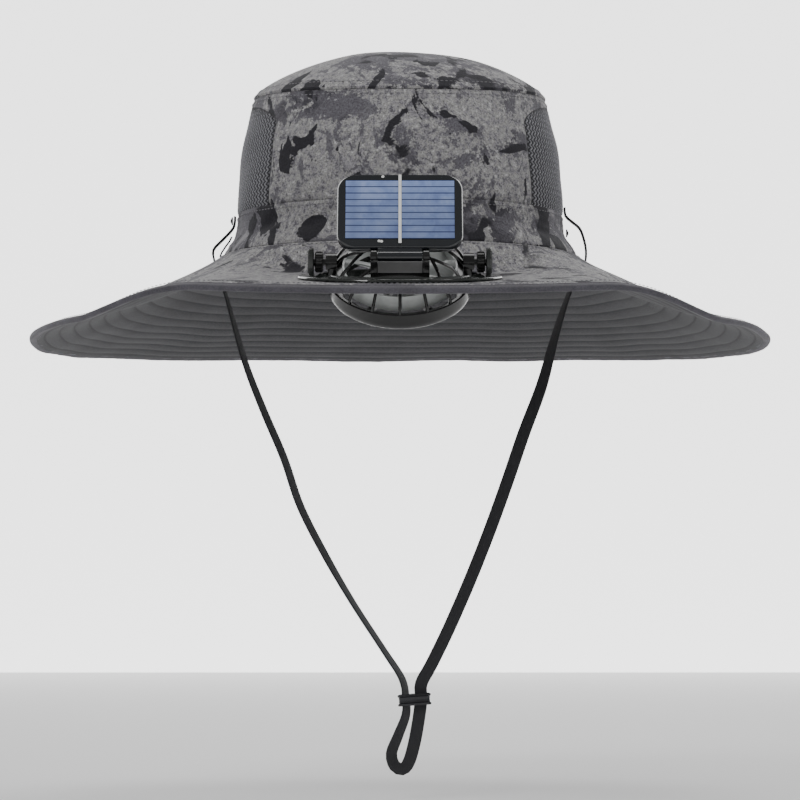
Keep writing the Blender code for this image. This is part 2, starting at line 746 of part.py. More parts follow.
def make_rotor(frame, material):
    top, bottom = ROTOR_HALF_HEIGHT - ROTOR_DROP, -ROTOR_HALF_HEIGHT - ROTOR_DROP
    bore, bore_top = SHAFT_RADIUS + GAP, ROTOR_HALF_HEIGHT / 2 - ROTOR_DROP + GAP
    profile = [(0.0, top), (ROTOR_HUB_RADIUS - 0.001, top), (ROTOR_HUB_RADIUS, top - 0.001),
               (ROTOR_HUB_RADIUS, bottom), (bore, bottom), (bore, bore_top), (0.0, bore_top)]
    rotor = turned_part("rotor", profile, material, frame, DRUM_STEPS)
    shape = bmesh.new()
    blade_end = ROTOR_RADIUS - ROTOR_SHROUD / 2
    root_radius = ROTOR_HUB_RADIUS - 0.0015
    root_chord = 0.78 * 2.0 * math.pi * root_radius / BLADE_COUNT
    tip_chord = 0.75 * 2.0 * math.pi * ROTOR_RADIUS / BLADE_COUNT
    pitch = Matrix.Rotation(math.radians(BLADE_PITCH), 3, "X")
    for step in range(BLADE_COUNT):
        verts = box_into(shape, (root_radius, -0.5, -BLADE_THICKNESS / 2), (blade_end, 0.5, BLADE_THICKNESS / 2))
        for vert in verts:
            at_tip = vert.co.x > (root_radius + blade_end) / 2
            vert.co.y *= tip_chord if at_tip else root_chord
            if at_tip:
                vert.co.x = math.sqrt(blade_end ** 2 - (tip_chord / 2) ** 2)
        bmesh.ops.rotate(shape, verts=verts, cent=(0.0, 0.0, 0.0), matrix=pitch)
        bmesh.ops.translate(shape, verts=verts, vec=(0.0, 0.0, -ROTOR_DROP))
        turn = Matrix.Rotation(full_turn(step / BLADE_COUNT), 3, "Z")
        bmesh.ops.rotate(shape, verts=verts, cent=(0.0, 0.0, 0.0), matrix=turn)
    boolean(rotor, add_tool("blades", finish_mesh(shape, "blades"), frame), "UNION")
    inner = ROTOR_RADIUS - ROTOR_SHROUD
    ring = ((ROTOR_RADIUS, top), (ROTOR_RADIUS, bottom), (inner, bottom), (inner, top))

    def place(share, row):
        radius, height = ring[row % len(ring)]
        return Vector((*polar(radius, full_turn(share)), height))

    shroud = sheet_mesh("shroud", DRUM_STEPS, len(ring), place, outward=True)
    boolean(rotor, add_tool("shroud", shroud, frame), "UNION")
    smooth(rotor)


# Stand of the solar panel

def make_stand(frame, body_material, face_material):
    half = STAND_WIDTH / 2
    hinge_height = STAND_FOOT + HINGE_RISE
    inner = half - CHEEK_THICKNESS
    front_bar = STAND_FRONT + FACE_PLATE_THICKNESS + GAP
    stand = add_part("panel_stand", box_mesh("panel_stand", (-half, front_bar, STAND_FOOT),
                                             (half, STAND_BACK, STAND_FOOT + STAND_BASE)), body_material, frame)
    for side in (-1, 1):
        near, far = sorted((side * inner, side * half))
        cheek = box_mesh("cheek", (near, STAND_FRONT, STAND_FOOT), (far, STAND_BACK, hinge_height))
        boolean(stand, add_tool("cheek", cheek, frame), "UNION")
        eye = rod_mesh("cheek_eye", HINGE_EYE_RADIUS, near, far, "X", 20)
        eye_tool = add_tool("cheek_eye", eye, frame)
        eye_tool.location = (0.0, -STAND_SETBACK, hinge_height)
        boolean(stand, eye_tool, "UNION")
    bore = rod_mesh("stand_bore", HINGE_PIN_RADIUS + GAP, -half - GAP, half + GAP, "X", 16)
    bore_tool = add_tool("stand_bore", bore, frame)
    bore_tool.location = (0.0, -STAND_SETBACK, hinge_height)
    boolean(stand, bore_tool)
    smooth(stand)
    low = (-inner + GAP, STAND_FRONT, STAND_FOOT)
    high = (inner - GAP, STAND_FRONT + FACE_PLATE_THICKNESS, hinge_height - GAP)
    add_part("stand_plate", box_mesh("stand_plate", low, high), face_material, frame)


# Solar panel

def make_panel(fan_frame, case_material, cell_material, bar_material):
    hinge = (0.0, -STAND_SETBACK, STAND_FOOT + HINGE_RISE)
    frame = add_frame("panel_pivot", hinge, -PANEL_LEAN_BACK - FAN_LEAN, fan_frame)
    half, front = PANEL_WIDTH / 2, -PANEL_THICKNESS / 2
    low_edge, top_edge = PANEL_EDGE_TO_HINGE, PANEL_EDGE_TO_HINGE + PANEL_HEIGHT

    shape = bmesh.new()
    box_into(shape, (-half, front, low_edge), (half, -front, top_edge))
    corners = [edge for edge in shape.edges if abs(edge.verts[0].co.y - edge.verts[1].co.y) > PANEL_THICKNESS / 2]
    bmesh.ops.bevel(shape, geom=corners, offset=PANEL_CORNER, segments=6, profile=0.5, affect="EDGES")
    rims = [edge for edge in shape.edges if abs(edge.verts[0].co.y - edge.verts[1].co.y) < GAP]
    bmesh.ops.bevel(shape, geom=rims, offset=PANEL_THICKNESS / 5, segments=2, profile=0.5, affect="EDGES")
    case = add_part("panel_frame", finish_mesh(shape, "panel_frame"), case_material, frame)

    cell_low = low_edge + CELL_RISE
    cell_half = CELL_WIDTH / 2
    pocket_floor = front + CELL_THICKNESS + GAP
    pocket = box_mesh("cell_pocket", (-cell_half - GAP, front - PANEL_THICKNESS, cell_low - GAP),
                      (cell_half + GAP, pocket_floor, cell_low + CELL_HEIGHT + GAP))
    boolean(case, add_tool("cell_pocket", pocket, frame))
    inner = STAND_WIDTH / 2 - CHEEK_THICKNESS - GAP
    barrel = rod_mesh("hinge_barrel", BARREL_RADIUS, -inner, inner, "X", 20)
    boolean(case, add_tool("hinge_barrel", barrel, frame), "UNION")
    neck = box_mesh("hinge_neck", (-inner, -0.8 * BARREL_RADIUS, 0.0), (inner, 0.8 * BARREL_RADIUS, 1.3 * low_edge))
    boolean(case, add_tool("hinge_neck", neck, frame), "UNION")
    pin_end = STAND_WIDTH / 2 - GAP
    pins = rod_mesh("hinge_pins", HINGE_PIN_RADIUS, -pin_end, pin_end, "X", 16)
    boolean(case, add_tool("hinge_pins", pins, frame), "UNION")
    smooth(case)

    cell = box_mesh("solar_cell", (-cell_half, front, cell_low), (cell_half, front + CELL_THICKNESS, cell_low + CELL_HEIGHT))
    add_part("solar_cell", cell, cell_material, frame)
    bar_middle = cell_low + CELL_HEIGHT / 2
    bar_face = front - GAP
    bar = box_mesh("busbar", (-BUSBAR_WIDTH / 2, bar_face - BUSBAR_THICKNESS, bar_middle - BUSBAR_LENGTH / 2),
                   (BUSBAR_WIDTH / 2, bar_face, bar_middle + BUSBAR_LENGTH / 2))
    add_part("busbar", bar, bar_material, frame)


# Chin tape

def smooth_route(points, longest):
    """Points read from a smooth curve through the chosen ones."""
    route = []
    last = len(points) - 1
    for index in range(last):
        before, start = points[max(0, index - 1)], points[index]
        end, after = points[index + 1], points[min(last, index + 2)]
        steps = max(1, math.ceil(math.hypot(end[0] - start[0], end[1] - start[1]) / longest))
        for step in range(steps):
            t = step / steps
            route.append(tuple(
                0.5 * (2 * b + (c - a) * t + (2 * a - 5 * b + 4 * c - d) * t * t + (3 * b - a - 3 * c + d) * t ** 3)
                for a, b, c, d in zip(before, start, end, after)))
    route.append(points[-1])
    return route


def strand_curve(name, route):
    """A poly curve in the XZ plane through points whose first two columns are x and z."""
    curve = bpy.data.curves.new(name, "CURVE")
    curve.dimensions = "3D"
    curve.use_fill_caps = True
    curve.render_resolution_u = 0
    spline = curve.splines.new("POLY")
    spline.points.add(len(route) - 1)
    for point, row in zip(spline.points, route):
        point.co = (row[0], 0.0, row[1], 1.0)
    return curve, spline


def make_tape(material):
    half_width, half_thickness = TAPE_WIDTH / 2, TAPE_THICKNESS / 2
    corner = 0.6 * half_thickness
    section = bpy.data.curves.new("tape_section", "CURVE")
    section.dimensions = "2D"
    section.render_resolution_u = 0
    outline = section.splines.new("POLY")
    corners = []
    for side_x, side_y in ((1, -1), (1, 1), (-1, 1), (-1, -1)):
        flat = (side_x * (half_width - corner), side_y * half_thickness)
        edge = (side_x * half_width, side_y * (half_thickness - corner))
        corners += [flat, edge] if side_x == -side_y else [edge, flat]
    outline.points.add(len(corners) - 1)
    for point, (x, y) in zip(outline.points, reversed(corners)):
        point.co = (x, y, 0.0, 1.0)
    outline.use_cyclic_u = True

    route = smooth_route(TAPE_ROUTE, TAPE_STEP)
    curve, spline = strand_curve("chin_cord", route)
    for point, row in zip(spline.points, route):
        point.tilt = math.radians(row[2])
    curve.bevel_mode = "OBJECT"
    curve.bevel_object = add_tool("tape_section", section)
    curve.twist_mode = "MINIMUM"
    add_part("chin_cord", curve, material)


def make_keeper(material):
    curve, _ = strand_curve("keeper_left", smooth_route(KEEPER_ROUTE, TAPE_STEP))
    curve.bevel_depth = KEEPER_RADIUS
    curve.bevel_resolution = 2
    add_part("keeper_left", curve, material)


def rounded_outline(half_x, half_y, corner, steps=3):
    """A rectangle with round corners."""
    outline = []
    for quarter, (side_x, side_y) in enumerate(((1, 1), (-1, 1), (-1, -1), (1, -1))):
        for step in range(steps + 1):
            angle = math.pi / 2 * (quarter + step / steps)
            outline.append((side_x * (half_x - corner) + corner * math.cos(angle),
                            side_y * (half_y - corner) + corner * math.sin(angle)))
    return outline


def make_cord_lock(material):
    frame = bpy.data.objects.new("lock_frame", None)
    PARTS.objects.link(frame)
    frame.location = LOCK_CENTRE
    frame.rotation_euler = (0.0, math.radians(LOCK_TILT), 0.0)
    half_x, half_y, half_z = LOCK_LENGTH / 2, LOCK_DEPTH / 2, LOCK_HEIGHT / 2
    waist = 0.3 * LOCK_WALL
    body = prism_mesh("cord_lock", [rounded_outline(half_x - waist, half_y - waist, LOCK_CORNER)], -half_z, half_z)
    lock = add_part("cord_lock", body, material, frame)
    rim = LOCK_HEIGHT / 4
    for low, high in ((-half_z, rim - half_z), (half_z - rim, half_z)):
        ring = prism_mesh("lock_rim", [rounded_outline(half_x, half_y, LOCK_CORNER)], low, high)
        boolean(lock, add_tool("lock_rim", ring, frame), "UNION")
    inside = rounded_outline(half_x - LOCK_WALL, half_y - LOCK_WALL, LOCK_CORNER - LOCK_WALL)
    hole = prism_mesh("lock_hole", [inside], -LOCK_HEIGHT, LOCK_HEIGHT)
    boolean(lock, add_tool("lock_hole", hole, frame))
    smooth(lock)


def make_snaps(material):
    side_angle = math.pi / 2
    over_tape = 3 * GAP + TAPE_THICKNESS
    left = crown_point(-side_angle, SNAP_LEFT_HEIGHT).x - over_tape - GAP
    right = crown_point(side_angle, SNAP_RIGHT_HEIGHT - SNAP_RADIUS).x + GAP
    for name, near, far, height in (("snap_left", left - SNAP_THICKNESS, left, SNAP_LEFT_HEIGHT),
                                    ("snap_right", right, right + SNAP_THICKNESS, SNAP_RIGHT_HEIGHT)):
        snap = add_part(name, rod_mesh(name, SNAP_RADIUS, near, far, "X", 20), material)
        snap.location.z = height
        smooth(snap)


def main():
    camouflage = new_material("camouflage_cloth", (0.28, 0.27, 0.30), 0.9)
    knit = new_material("knit_mesh", (0.22, 0.22, 0.24), 0.85)
    tape_cloth = new_material("binding_tape", (0.045, 0.043, 0.055), 0.8)
    plate_plastic = new_material("plate_plastic", (0.02, 0.024, 0.022), 0.2)
    fan_plastic = new_material("fan_plastic", (0.012, 0.012, 0.014), 0.18)
    blade_plastic = new_material("blade_plastic", (0.26, 0.28, 0.27), 0.3)
    case_plastic = new_material("case_plastic", (0.02, 0.024, 0.03), 0.12)
    face_plastic = new_material("face_plastic", (0.10, 0.10, 0.10), 0.45)
    cell_glass = new_material("cell_glass", (0.16, 0.23, 0.48), 0.25)
    bar_metal = new_material("bar_metal", (0.85, 0.85, 0.82), 0.35, 0.6)
    strap = new_material("strap_webbing", (0.022, 0.022, 0.026), 0.75)
    dark_metal = new_material("dark_metal", (0.03, 0.03, 0.035), 0.25, 0.7)

    make_crown_band(camouflage)
    make_crown_panel("crown_front", 0.0, camouflage)
    make_crown_panel("crown_back", 180.0, camouflage)
    make_mesh_panel("mesh_left", -90.0, knit)
    make_mesh_panel("mesh_right", 90.0, knit)
    make_crown_tip(camouflage)
    make_brim(camouflage)
    make_binding(tape_cloth)
    make_mount_plate(plate_plastic)
    fan_frame = add_frame("fan_pivot", FAN_PIVOT, FAN_LEAN)
    make_housing(fan_frame, fan_plastic)
    make_guard(fan_frame, fan_plastic)
    make_rotor(fan_frame, blade_plastic)
    make_stand(fan_frame, fan_plastic, face_plastic)
    make_panel(fan_frame, case_plastic, cell_glass, bar_metal)
    make_tape(strap)
    make_keeper(strap)
    make_cord_lock(dark_metal)
    make_snaps(dark_metal)


main()
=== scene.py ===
import json
import math

import bmesh
import bpy
from mathutils import Matrix, Vector, noise


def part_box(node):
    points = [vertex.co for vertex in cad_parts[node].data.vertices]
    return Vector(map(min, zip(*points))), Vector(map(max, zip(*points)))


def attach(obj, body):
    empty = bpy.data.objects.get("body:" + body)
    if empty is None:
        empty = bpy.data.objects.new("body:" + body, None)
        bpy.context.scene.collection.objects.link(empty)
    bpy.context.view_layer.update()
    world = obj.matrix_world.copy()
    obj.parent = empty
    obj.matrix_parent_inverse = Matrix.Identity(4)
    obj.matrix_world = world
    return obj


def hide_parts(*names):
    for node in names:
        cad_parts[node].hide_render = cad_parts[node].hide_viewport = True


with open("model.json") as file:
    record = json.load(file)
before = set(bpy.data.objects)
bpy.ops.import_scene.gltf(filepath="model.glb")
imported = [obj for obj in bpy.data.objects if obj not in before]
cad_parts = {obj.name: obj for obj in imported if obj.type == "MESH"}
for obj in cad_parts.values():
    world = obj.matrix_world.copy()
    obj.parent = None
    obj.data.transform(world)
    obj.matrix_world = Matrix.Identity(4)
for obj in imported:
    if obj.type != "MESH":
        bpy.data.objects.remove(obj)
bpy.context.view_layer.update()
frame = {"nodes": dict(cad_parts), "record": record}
joints = {joint["name"]: joint for joint in frame["record"]["behaviour"]["joints"]}
mounts = {mount["name"]: mount for mount in frame["record"]["mounts"]}


# Objects and meshes

def linkObject(name, data):
    made = bpy.data.objects.new(name, data)
    bpy.context.scene.collection.objects.link(made)
    return made


def meshData(name, mesh, *materials):
    data = bpy.data.meshes.new(name)
    mesh.to_mesh(data)
    mesh.free()
    for material in materials:
        data.materials.append(material)
    return data


def openEdges(mesh):
    return [edge for edge in mesh.edges if edge.is_boundary]


def fillHoles(mesh):
    bmesh.ops.holes_fill(mesh, edges=openEdges(mesh))


def faceOut(mesh):
    bmesh.ops.recalc_face_normals(mesh, faces=mesh.faces)


# Camera at the photograph's angle, a little below the hat
photoCamera = {
    "target": Vector((0.0, 0.0, -0.0793)),
    "distance": 2.0,
    "lookUp": math.radians(3.0),
    "lens": 161.87,
    "sensor": 36.0,
}


def addCamera(look):
    data = bpy.data.cameras.new("photoCamera")
    data.lens = look["lens"]
    data.sensor_width = look["sensor"]
    camera = linkObject("photoCamera", data)
    away = Vector((0.0, -math.cos(look["lookUp"]), -math.sin(look["lookUp"])))
    camera.location = look["target"] + away * look["distance"]
    camera.rotation_euler = (math.pi / 2 + look["lookUp"], 0.0, 0.0)
    bpy.context.scene.camera = camera


addCamera(photoCamera)
print("camera placed")


# Small helpers for node materials

def newMaterial(name, color, roughness, metallic=0.0, **sockets):
    material = bpy.data.materials.new(name)
    material.use_nodes = True
    material.diffuse_color = (*color, 1.0)
    tree = material.node_tree
    shader = tree.nodes["Principled BSDF"]
    shader.inputs["Base Color"].default_value = (*color, 1.0)
    shader.inputs["Roughness"].default_value = roughness
    shader.inputs["Metallic"].default_value = metallic
    for socket, value in sockets.items():
        shader.inputs[socket].default_value = value
    return material, tree, shader


def addNode(tree, kind, inputs=None, **settings):
    node = tree.nodes.new(kind)
    for name, value in settings.items():
        setattr(node, name, value)
    for name, value in (inputs or {}).items():
        if isinstance(value, bpy.types.NodeSocket):
            tree.links.new(value, node.inputs[name])
        else:
            node.inputs[name].default_value = value
    return node


def objectPoint(tree, move=(0.0, 0.0, 0.0), turn=(0.0, 0.0, 0.0), scale=(1.0, 1.0, 1.0)):
    place = addNode(tree, "ShaderNodeTexCoord").outputs["Object"]
    mapping = addNode(tree, "ShaderNodeMapping", {"Vector": place, "Location": move,
                                                  "Rotation": turn, "Scale": scale})
    return mapping.outputs["Vector"]


def noiseFac(tree, point, scale, detail=2.0, rough=0.5, distort=0.0):
    return addNode(tree, "ShaderNodeTexNoise", {"Vector": point, "Scale": scale, "Detail": detail,
                                                "Roughness": rough, "Distortion": distort}).outputs["Fac"]


def ramp(tree, factor, stops, sharp=False):
    node = addNode(tree, "ShaderNodeValToRGB", {"Fac": factor})
    node.color_ramp.interpolation = "CONSTANT" if sharp else "LINEAR"
    elements = node.color_ramp.elements
    while len(elements) < len(stops):
        elements.new(0.5)
    for element, (position, color) in zip(elements, stops):
        element.position = position
        element.color = (*color, 1.0) if isinstance(color, tuple) else (color, color, color, 1.0)
    return node.outputs["Color"]


def mixColor(tree, factor, under, over, blend="MIX"):
    node = addNode(tree, "ShaderNodeMix", data_type="RGBA", blend_type=blend)
    for index, value in ((0, factor), (6, under), (7, over)):
        if isinstance(value, bpy.types.NodeSocket):
            tree.links.new(value, node.inputs[index])
        elif isinstance(value, tuple):
            node.inputs[index].default_value = (*value, 1.0)
        else:
            node.inputs[index].default_value = value
    return node.outputs[2]


def maths(tree, operation, first, second=0.0):
    return addNode(tree, "ShaderNodeMath", {0: first, 1: second}, operation=operation).outputs[0]


def bumpInto(tree, shader, height, strength, distance=0.0004):
    bump = addNode(tree, "ShaderNodeBump", {"Height": height, "Strength": strength, "Distance": distance})
    tree.links.new(bump.outputs["Normal"], shader.inputs["Normal"])


def colorInto(tree, shader, color):
    tree.links.new(color, shader.inputs["Base Color"])


# Cloth print: a plain grunge camouflage in greys with its own random layout
printColors = {
    "pale": (0.47, 0.46, 0.48),
    "light": (0.27, 0.262, 0.28),
    "warm": (0.30, 0.297, 0.285),
    "mid": (0.118, 0.113, 0.130),
    "deep": (0.058, 0.055, 0.066),
    "dark": (0.020, 0.019, 0.025),
}


def camouflageCloth(name, shift, patchScale, darkFrom, lightFrom=0.46, grain=1.0):
    material, tree, shader = newMaterial(name, printColors["mid"], 0.92, **{"Sheen Weight": 0.08})
    colors = printColors
    point = objectPoint(tree, move=shift)
    away = objectPoint(tree, move=(shift[0] + 3.1, shift[1] + 1.7, shift[2] + 0.4))
    # Smooth grey ground in two tones
    base = ramp(tree, noiseFac(tree, away, patchScale * 1.3, 6.0, 0.6, 1.0),
                [(0.40, colors["deep"]), (0.47, colors["mid"]), (0.60, colors["mid"]),
                 (0.66, colors["light"])])
    # Pale speckled clouds with ragged edges
    clouds = noiseFac(tree, point, patchScale, 9.0, 0.68, 0.7)
    speck = noiseFac(tree, point, 330.0, 3.0, 0.75)
    pepper = ramp(tree, speck, [(0.36, colors["mid"]), (0.45, colors["light"]), (0.56, colors["warm"]),
                                (0.66, colors["pale"])])
    ragged = maths(tree, "ADD", clouds, maths(tree, "MULTIPLY", maths(tree, "SUBTRACT", speck, 0.5), 0.22))
    base = mixColor(tree, ramp(tree, ragged, [(lightFrom, 0.0), (lightFrom + 0.03, 1.0)]), base, pepper)
    # Mid-grey flakes over the clouds
    flakes = noiseFac(tree, objectPoint(tree, move=(0.7, 2.3, 1.9)), patchScale * 3.2, 6.0, 0.66, 0.8)
    base = mixColor(tree, ramp(tree, flakes, [(0.585, 0.0), (0.60, 0.9)]), base, colors["mid"])
    # Dark hooked strokes, which follow a level line of one noise and are broken by another
    streaks = objectPoint(tree, move=shift, turn=(0.3, 0.5, 0.2), scale=(1.0, 1.0, 0.62))
    level = noiseFac(tree, streaks, patchScale * 0.8, 2.0, 0.45, 0.9)
    tear = maths(tree, "MULTIPLY", maths(tree, "SUBTRACT", flakes, 0.5), 0.16)
    line = maths(tree, "ADD", maths(tree, "ABSOLUTE", maths(tree, "SUBTRACT", level, 0.47)), tear)
    broken = ramp(tree, noiseFac(tree, away, patchScale * 1.1, 3.0, 0.5, 0.6), [(0.52, 0.0), (0.54, 1.0)])
    stroke = ramp(tree, line, [(0.026, 1.0), (0.031, 0.0)])
    base = mixColor(tree, maths(tree, "MULTIPLY", stroke, broken), base, colors["dark"])
    blot = noiseFac(tree, streaks, patchScale * 1.1, 4.0, 0.52, 2.0)
    torn = maths(tree, "ADD", blot, tear)
    base = mixColor(tree, ramp(tree, torn, [(darkFrom, 0.0), (darkFrom + 0.008, 1.0)]), base, colors["dark"])
    # Small dark specks scattered over everything
    chips = noiseFac(tree, streaks, 105.0, 4.0, 0.62, 1.0)
    base = mixColor(tree, ramp(tree, chips, [(0.685, 0.0), (0.70, 0.9)]), base, colors["dark"])
    yarn = noiseFac(tree, point, 1150.0, 2.0, 0.6)
    shade = ramp(tree, yarn, [(0.32, 1.0 - 0.42 * grain), (0.68, 1.0 + 0.38 * grain)])
    colorInto(tree, shader, mixColor(tree, 1.0, base, shade, "MULTIPLY"))
    height = maths(tree, "ADD", maths(tree, "MULTIPLY", yarn, 0.6), noiseFac(tree, point, 300.0, 3.0))
    bumpInto(tree, shader, height, 0.55, 0.0006)
    return material


def quiltCloth():
    material, tree, shader = newMaterial("quiltCloth", (0.045, 0.045, 0.05), 0.88, **{"Sheen Weight": 0.1})
    point = objectPoint(tree)
    yarn = noiseFac(tree, point, 1100.0, 2.0, 0.6)
    valleyShade = addNode(tree, "ShaderNodeAttribute", attribute_name="valleyShade").outputs["Fac"]
    tone = ramp(tree, noiseFac(tree, point, 30.0, 4.0),
                [(0.3, (0.040, 0.040, 0.044)), (0.7, (0.056, 0.056, 0.062))])
    # Painted shade: the quilting valleys are darkened towards near black
    tone = mixColor(tree, valleyShade, tone, (0.014, 0.014, 0.017))
    grain = ramp(tree, yarn, [(0.3, 0.7), (0.7, 1.3)])
    colorInto(tree, shader, mixColor(tree, 1.0, tone, grain, "MULTIPLY"))
    bumpInto(tree, shader, yarn, 0.4)
    return material


def knitCloth():
    material, tree, shader = newMaterial("knitCloth", (0.2, 0.2, 0.215), 0.8, **{"Sheen Weight": 0.15})
    relief = addNode(tree, "ShaderNodeAttribute", attribute_name="relief").outputs["Fac"]
    # Painted shade and highlight: the gaps between the ribs are painted near black as shade and the crests
    # lighter as highlight; the grey between is the yarn's own colour
    tone = ramp(tree, relief, [(0.18, (0.006, 0.006, 0.008)), (0.42, (0.085, 0.085, 0.095)),
                               (0.75, (0.24, 0.24, 0.26)), (1.0, (0.36, 0.36, 0.385))])
    yarn = noiseFac(tree, objectPoint(tree), 1600.0, 2.0)
    colorInto(tree, shader, mixColor(tree, 1.0, tone, ramp(tree, yarn, [(0.3, 0.7), (0.7, 1.25)]), "MULTIPLY"))
    bumpInto(tree, shader, yarn, 0.4)
    return material


def wovenTape(name, color, spread, scale=1300.0):
    material, tree, shader = newMaterial(name, color, 0.82, **{"Sheen Weight": 0.15})
    point = objectPoint(tree)
    yarn = noiseFac(tree, point, scale, 2.0, 0.6)
    wear = noiseFac(tree, point, 70.0, 4.0)
    low, high = (tuple(c * share for c in color) for share in (1.0 - spread, 1.0 + spread))
    tone = ramp(tree, wear, [(0.35, low), (0.65, high)])
    colorInto(tree, shader, mixColor(tree, 1.0, tone, ramp(tree, yarn, [(0.3, 0.72), (0.7, 1.3)]), "MULTIPLY"))
    bumpInto(tree, shader, yarn, 0.5)
    return material


# Flat tape whose weave follows its length
def webbing():
    material, tree, shader = newMaterial("webbing", (0.022, 0.022, 0.026), 0.72, **{"Sheen Weight": 0.1})
    place = addNode(tree, "ShaderNodeUVMap", uv_map="UVMap").outputs["UV"]
    ribs = addNode(tree, "ShaderNodeTexWave", {"Vector": place, "Scale": 150.0, "Distortion": 0.4},
                   wave_type="BANDS", bands_direction="Y").outputs["Fac"]
    tone = ramp(tree, ribs, [(0.2, (0.012, 0.012, 0.015)), (0.8, (0.038, 0.038, 0.043))])
    colorInto(tree, shader, tone)
    bumpInto(tree, shader, ribs, 0.5, 0.0003)
    return material


def glossPlastic(name, color, rough, coat=0.4, metallic=0.0):
    material, tree, shader = newMaterial(name, color, rough, metallic,
                                         **{"Coat Weight": coat, "Coat Roughness": 0.06})
    point = objectPoint(tree)
    smudge = noiseFac(tree, point, 45.0, 4.0, 0.6)
    tone = ramp(tree, smudge, [(0.3, tuple(c * 0.8 for c in color)), (0.7, tuple(c * 1.25 for c in color))])
    colorInto(tree, shader, tone)
    dull = maths(tree, "ADD", maths(tree, "MULTIPLY", smudge, 0.14), rough - 0.05)
    tree.links.new(dull, shader.inputs["Roughness"])
    bumpInto(tree, shader, noiseFac(tree, point, 500.0, 2.0), 0.05, 0.0002)
    return material


finishes = {
    "crownCloth": camouflageCloth("crownCloth", (0.31, 0.12, 0.07), 19.0, 0.60, 0.455),
    "tipCloth": camouflageCloth("tipCloth", (0.85, 0.42, 0.33), 17.0, 0.62, 0.47),
    "brimCloth": camouflageCloth("brimCloth", (1.21, 0.66, 0.25), 15.0, 0.64, 0.45, 1.1),
    "quiltCloth": quiltCloth(),
    "knitCloth": knitCloth(),
    "edgeTape": wovenTape("edgeTape", (0.072, 0.068, 0.082), 0.18),
    "thread": wovenTape("thread", (0.19, 0.187, 0.20), 0.3, 2400.0),
    "webbing": webbing(),
    "plateGloss": glossPlastic("plateGloss", (0.014, 0.017, 0.015), 0.16, 0.5),
    "fanGloss": glossPlastic("fanGloss", (0.006, 0.006, 0.006), 0.2, 0.15),
    "blades": glossPlastic("blades", (0.52, 0.54, 0.53), 0.3, 0.2),
    "caseGloss": glossPlastic("caseGloss", (0.008, 0.010, 0.013), 0.1, 0.6),
    "faceSatin": glossPlastic("faceSatin", (0.10, 0.10, 0.10), 0.42, 0.0),
    "gunmetal": glossPlastic("gunmetal", (0.03, 0.03, 0.034), 0.22, 0.4, 0.5),
    "busSilver": glossPlastic("busSilver", (0.86, 0.86, 0.84), 0.34, 0.1, 0.1),
}
print("finishes ready:", len(finishes))


# Pieces: linking, riding, replacing

# Links a bmesh as a piece at the origin that rides on a body; finish may name two finishes
def addPiece(name, mesh, finish, body, replaced=(), smoothAngle=40.0):
    data = meshData(name, mesh, *(finishes[one] for one in finish.split()))
    piece = linkObject(name, data)
    data.shade_smooth()
    data.set_sharp_from_angle(angle=math.radians(smoothAngle))
    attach(piece, body)
    if replaced:
        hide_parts(*replaced)
    return piece


# Grid whose points are placed by the shares across and along
def gridSheet(columns, rows, place, attribute=None):
    sheet = bmesh.new()
    bmesh.ops.create_grid(sheet, x_segments=columns, y_segments=rows, size=0.5)
    uvLayer = sheet.loops.layers.uv.new("UVMap")
    for face in sheet.faces:
        for corner in face.loops:
            corner[uvLayer].uv = (corner.vert.co.x + 0.5, corner.vert.co.y + 0.5)
    valueLayer = sheet.verts.layers.float.new(attribute) if attribute else None
    for vert in sheet.verts:
        placed = place(vert.co.x + 0.5, vert.co.y + 0.5)
        if attribute:
            placed, vert[valueLayer] = placed
        vert.co = placed
    bmesh.ops.remove_doubles(sheet, verts=sheet.verts, dist=0.000005)
    return sheet


def thicken(piece, wall):
    modifier = piece.modifiers.new("wall", "SOLIDIFY")
    modifier.thickness = wall
    modifier.offset = -1.0


def roundBox(mesh, low, high, bevel=0.0, segments=2, turn=None):
    middle, size = (Vector(low) + Vector(high)) / 2, Vector(high) - Vector(low)
    matrix = Matrix.Translation(middle) @ Matrix.Diagonal((*size, 1.0))
    verts = bmesh.ops.create_cube(mesh, size=1.0, matrix=matrix)["verts"]
    if bevel:
        edges = list({edge for vert in verts for edge in vert.link_edges})
        made = bmesh.ops.bevel(mesh, geom=edges, offset=bevel, segments=segments, profile=0.5,
                               affect="EDGES", material=-1)
        beveled = {vert for face in made["faces"] for vert in face.verts}
        verts = list(beveled | {vert for vert in verts if vert.is_valid})
    if turn is not None:
        bmesh.ops.transform(mesh, matrix=turn, verts=verts)
    return verts


# Spins a closed or axis-to-axis profile of radius and height into a solid
def spun(mesh, profile, steps=96, axis="Z", turn=None):
    points = [mesh.verts.new((radius, 0.0, height)) for radius, height in profile]
    edges = [mesh.edges.new(pair) for pair in zip(points, points[1:])]
    if profile[0][0] > 0.00001:
        edges.append(mesh.edges.new((points[-1], points[0])))
    before = set(mesh.verts) - set(points)
    bmesh.ops.spin(mesh, geom=points + edges, cent=(0, 0, 0), axis=(0, 0, 1), angle=math.tau,
                   steps=steps, use_merge=True)
    made = [vert for vert in mesh.verts if vert not in before]
    bmesh.ops.remove_doubles(mesh, verts=made, dist=0.000002)
    made = [vert for vert in mesh.verts if vert not in before]
    faces = list({face for vert in made for face in vert.link_faces})
    bmesh.ops.recalc_face_normals(mesh, faces=faces)
    matrix = Matrix.Rotation(math.pi / 2, 4, "Y") if axis == "X" else Matrix.Identity(4)
    if turn is not None:
        matrix = turn @ matrix
    bmesh.ops.transform(mesh, matrix=matrix, verts=made)
    return made


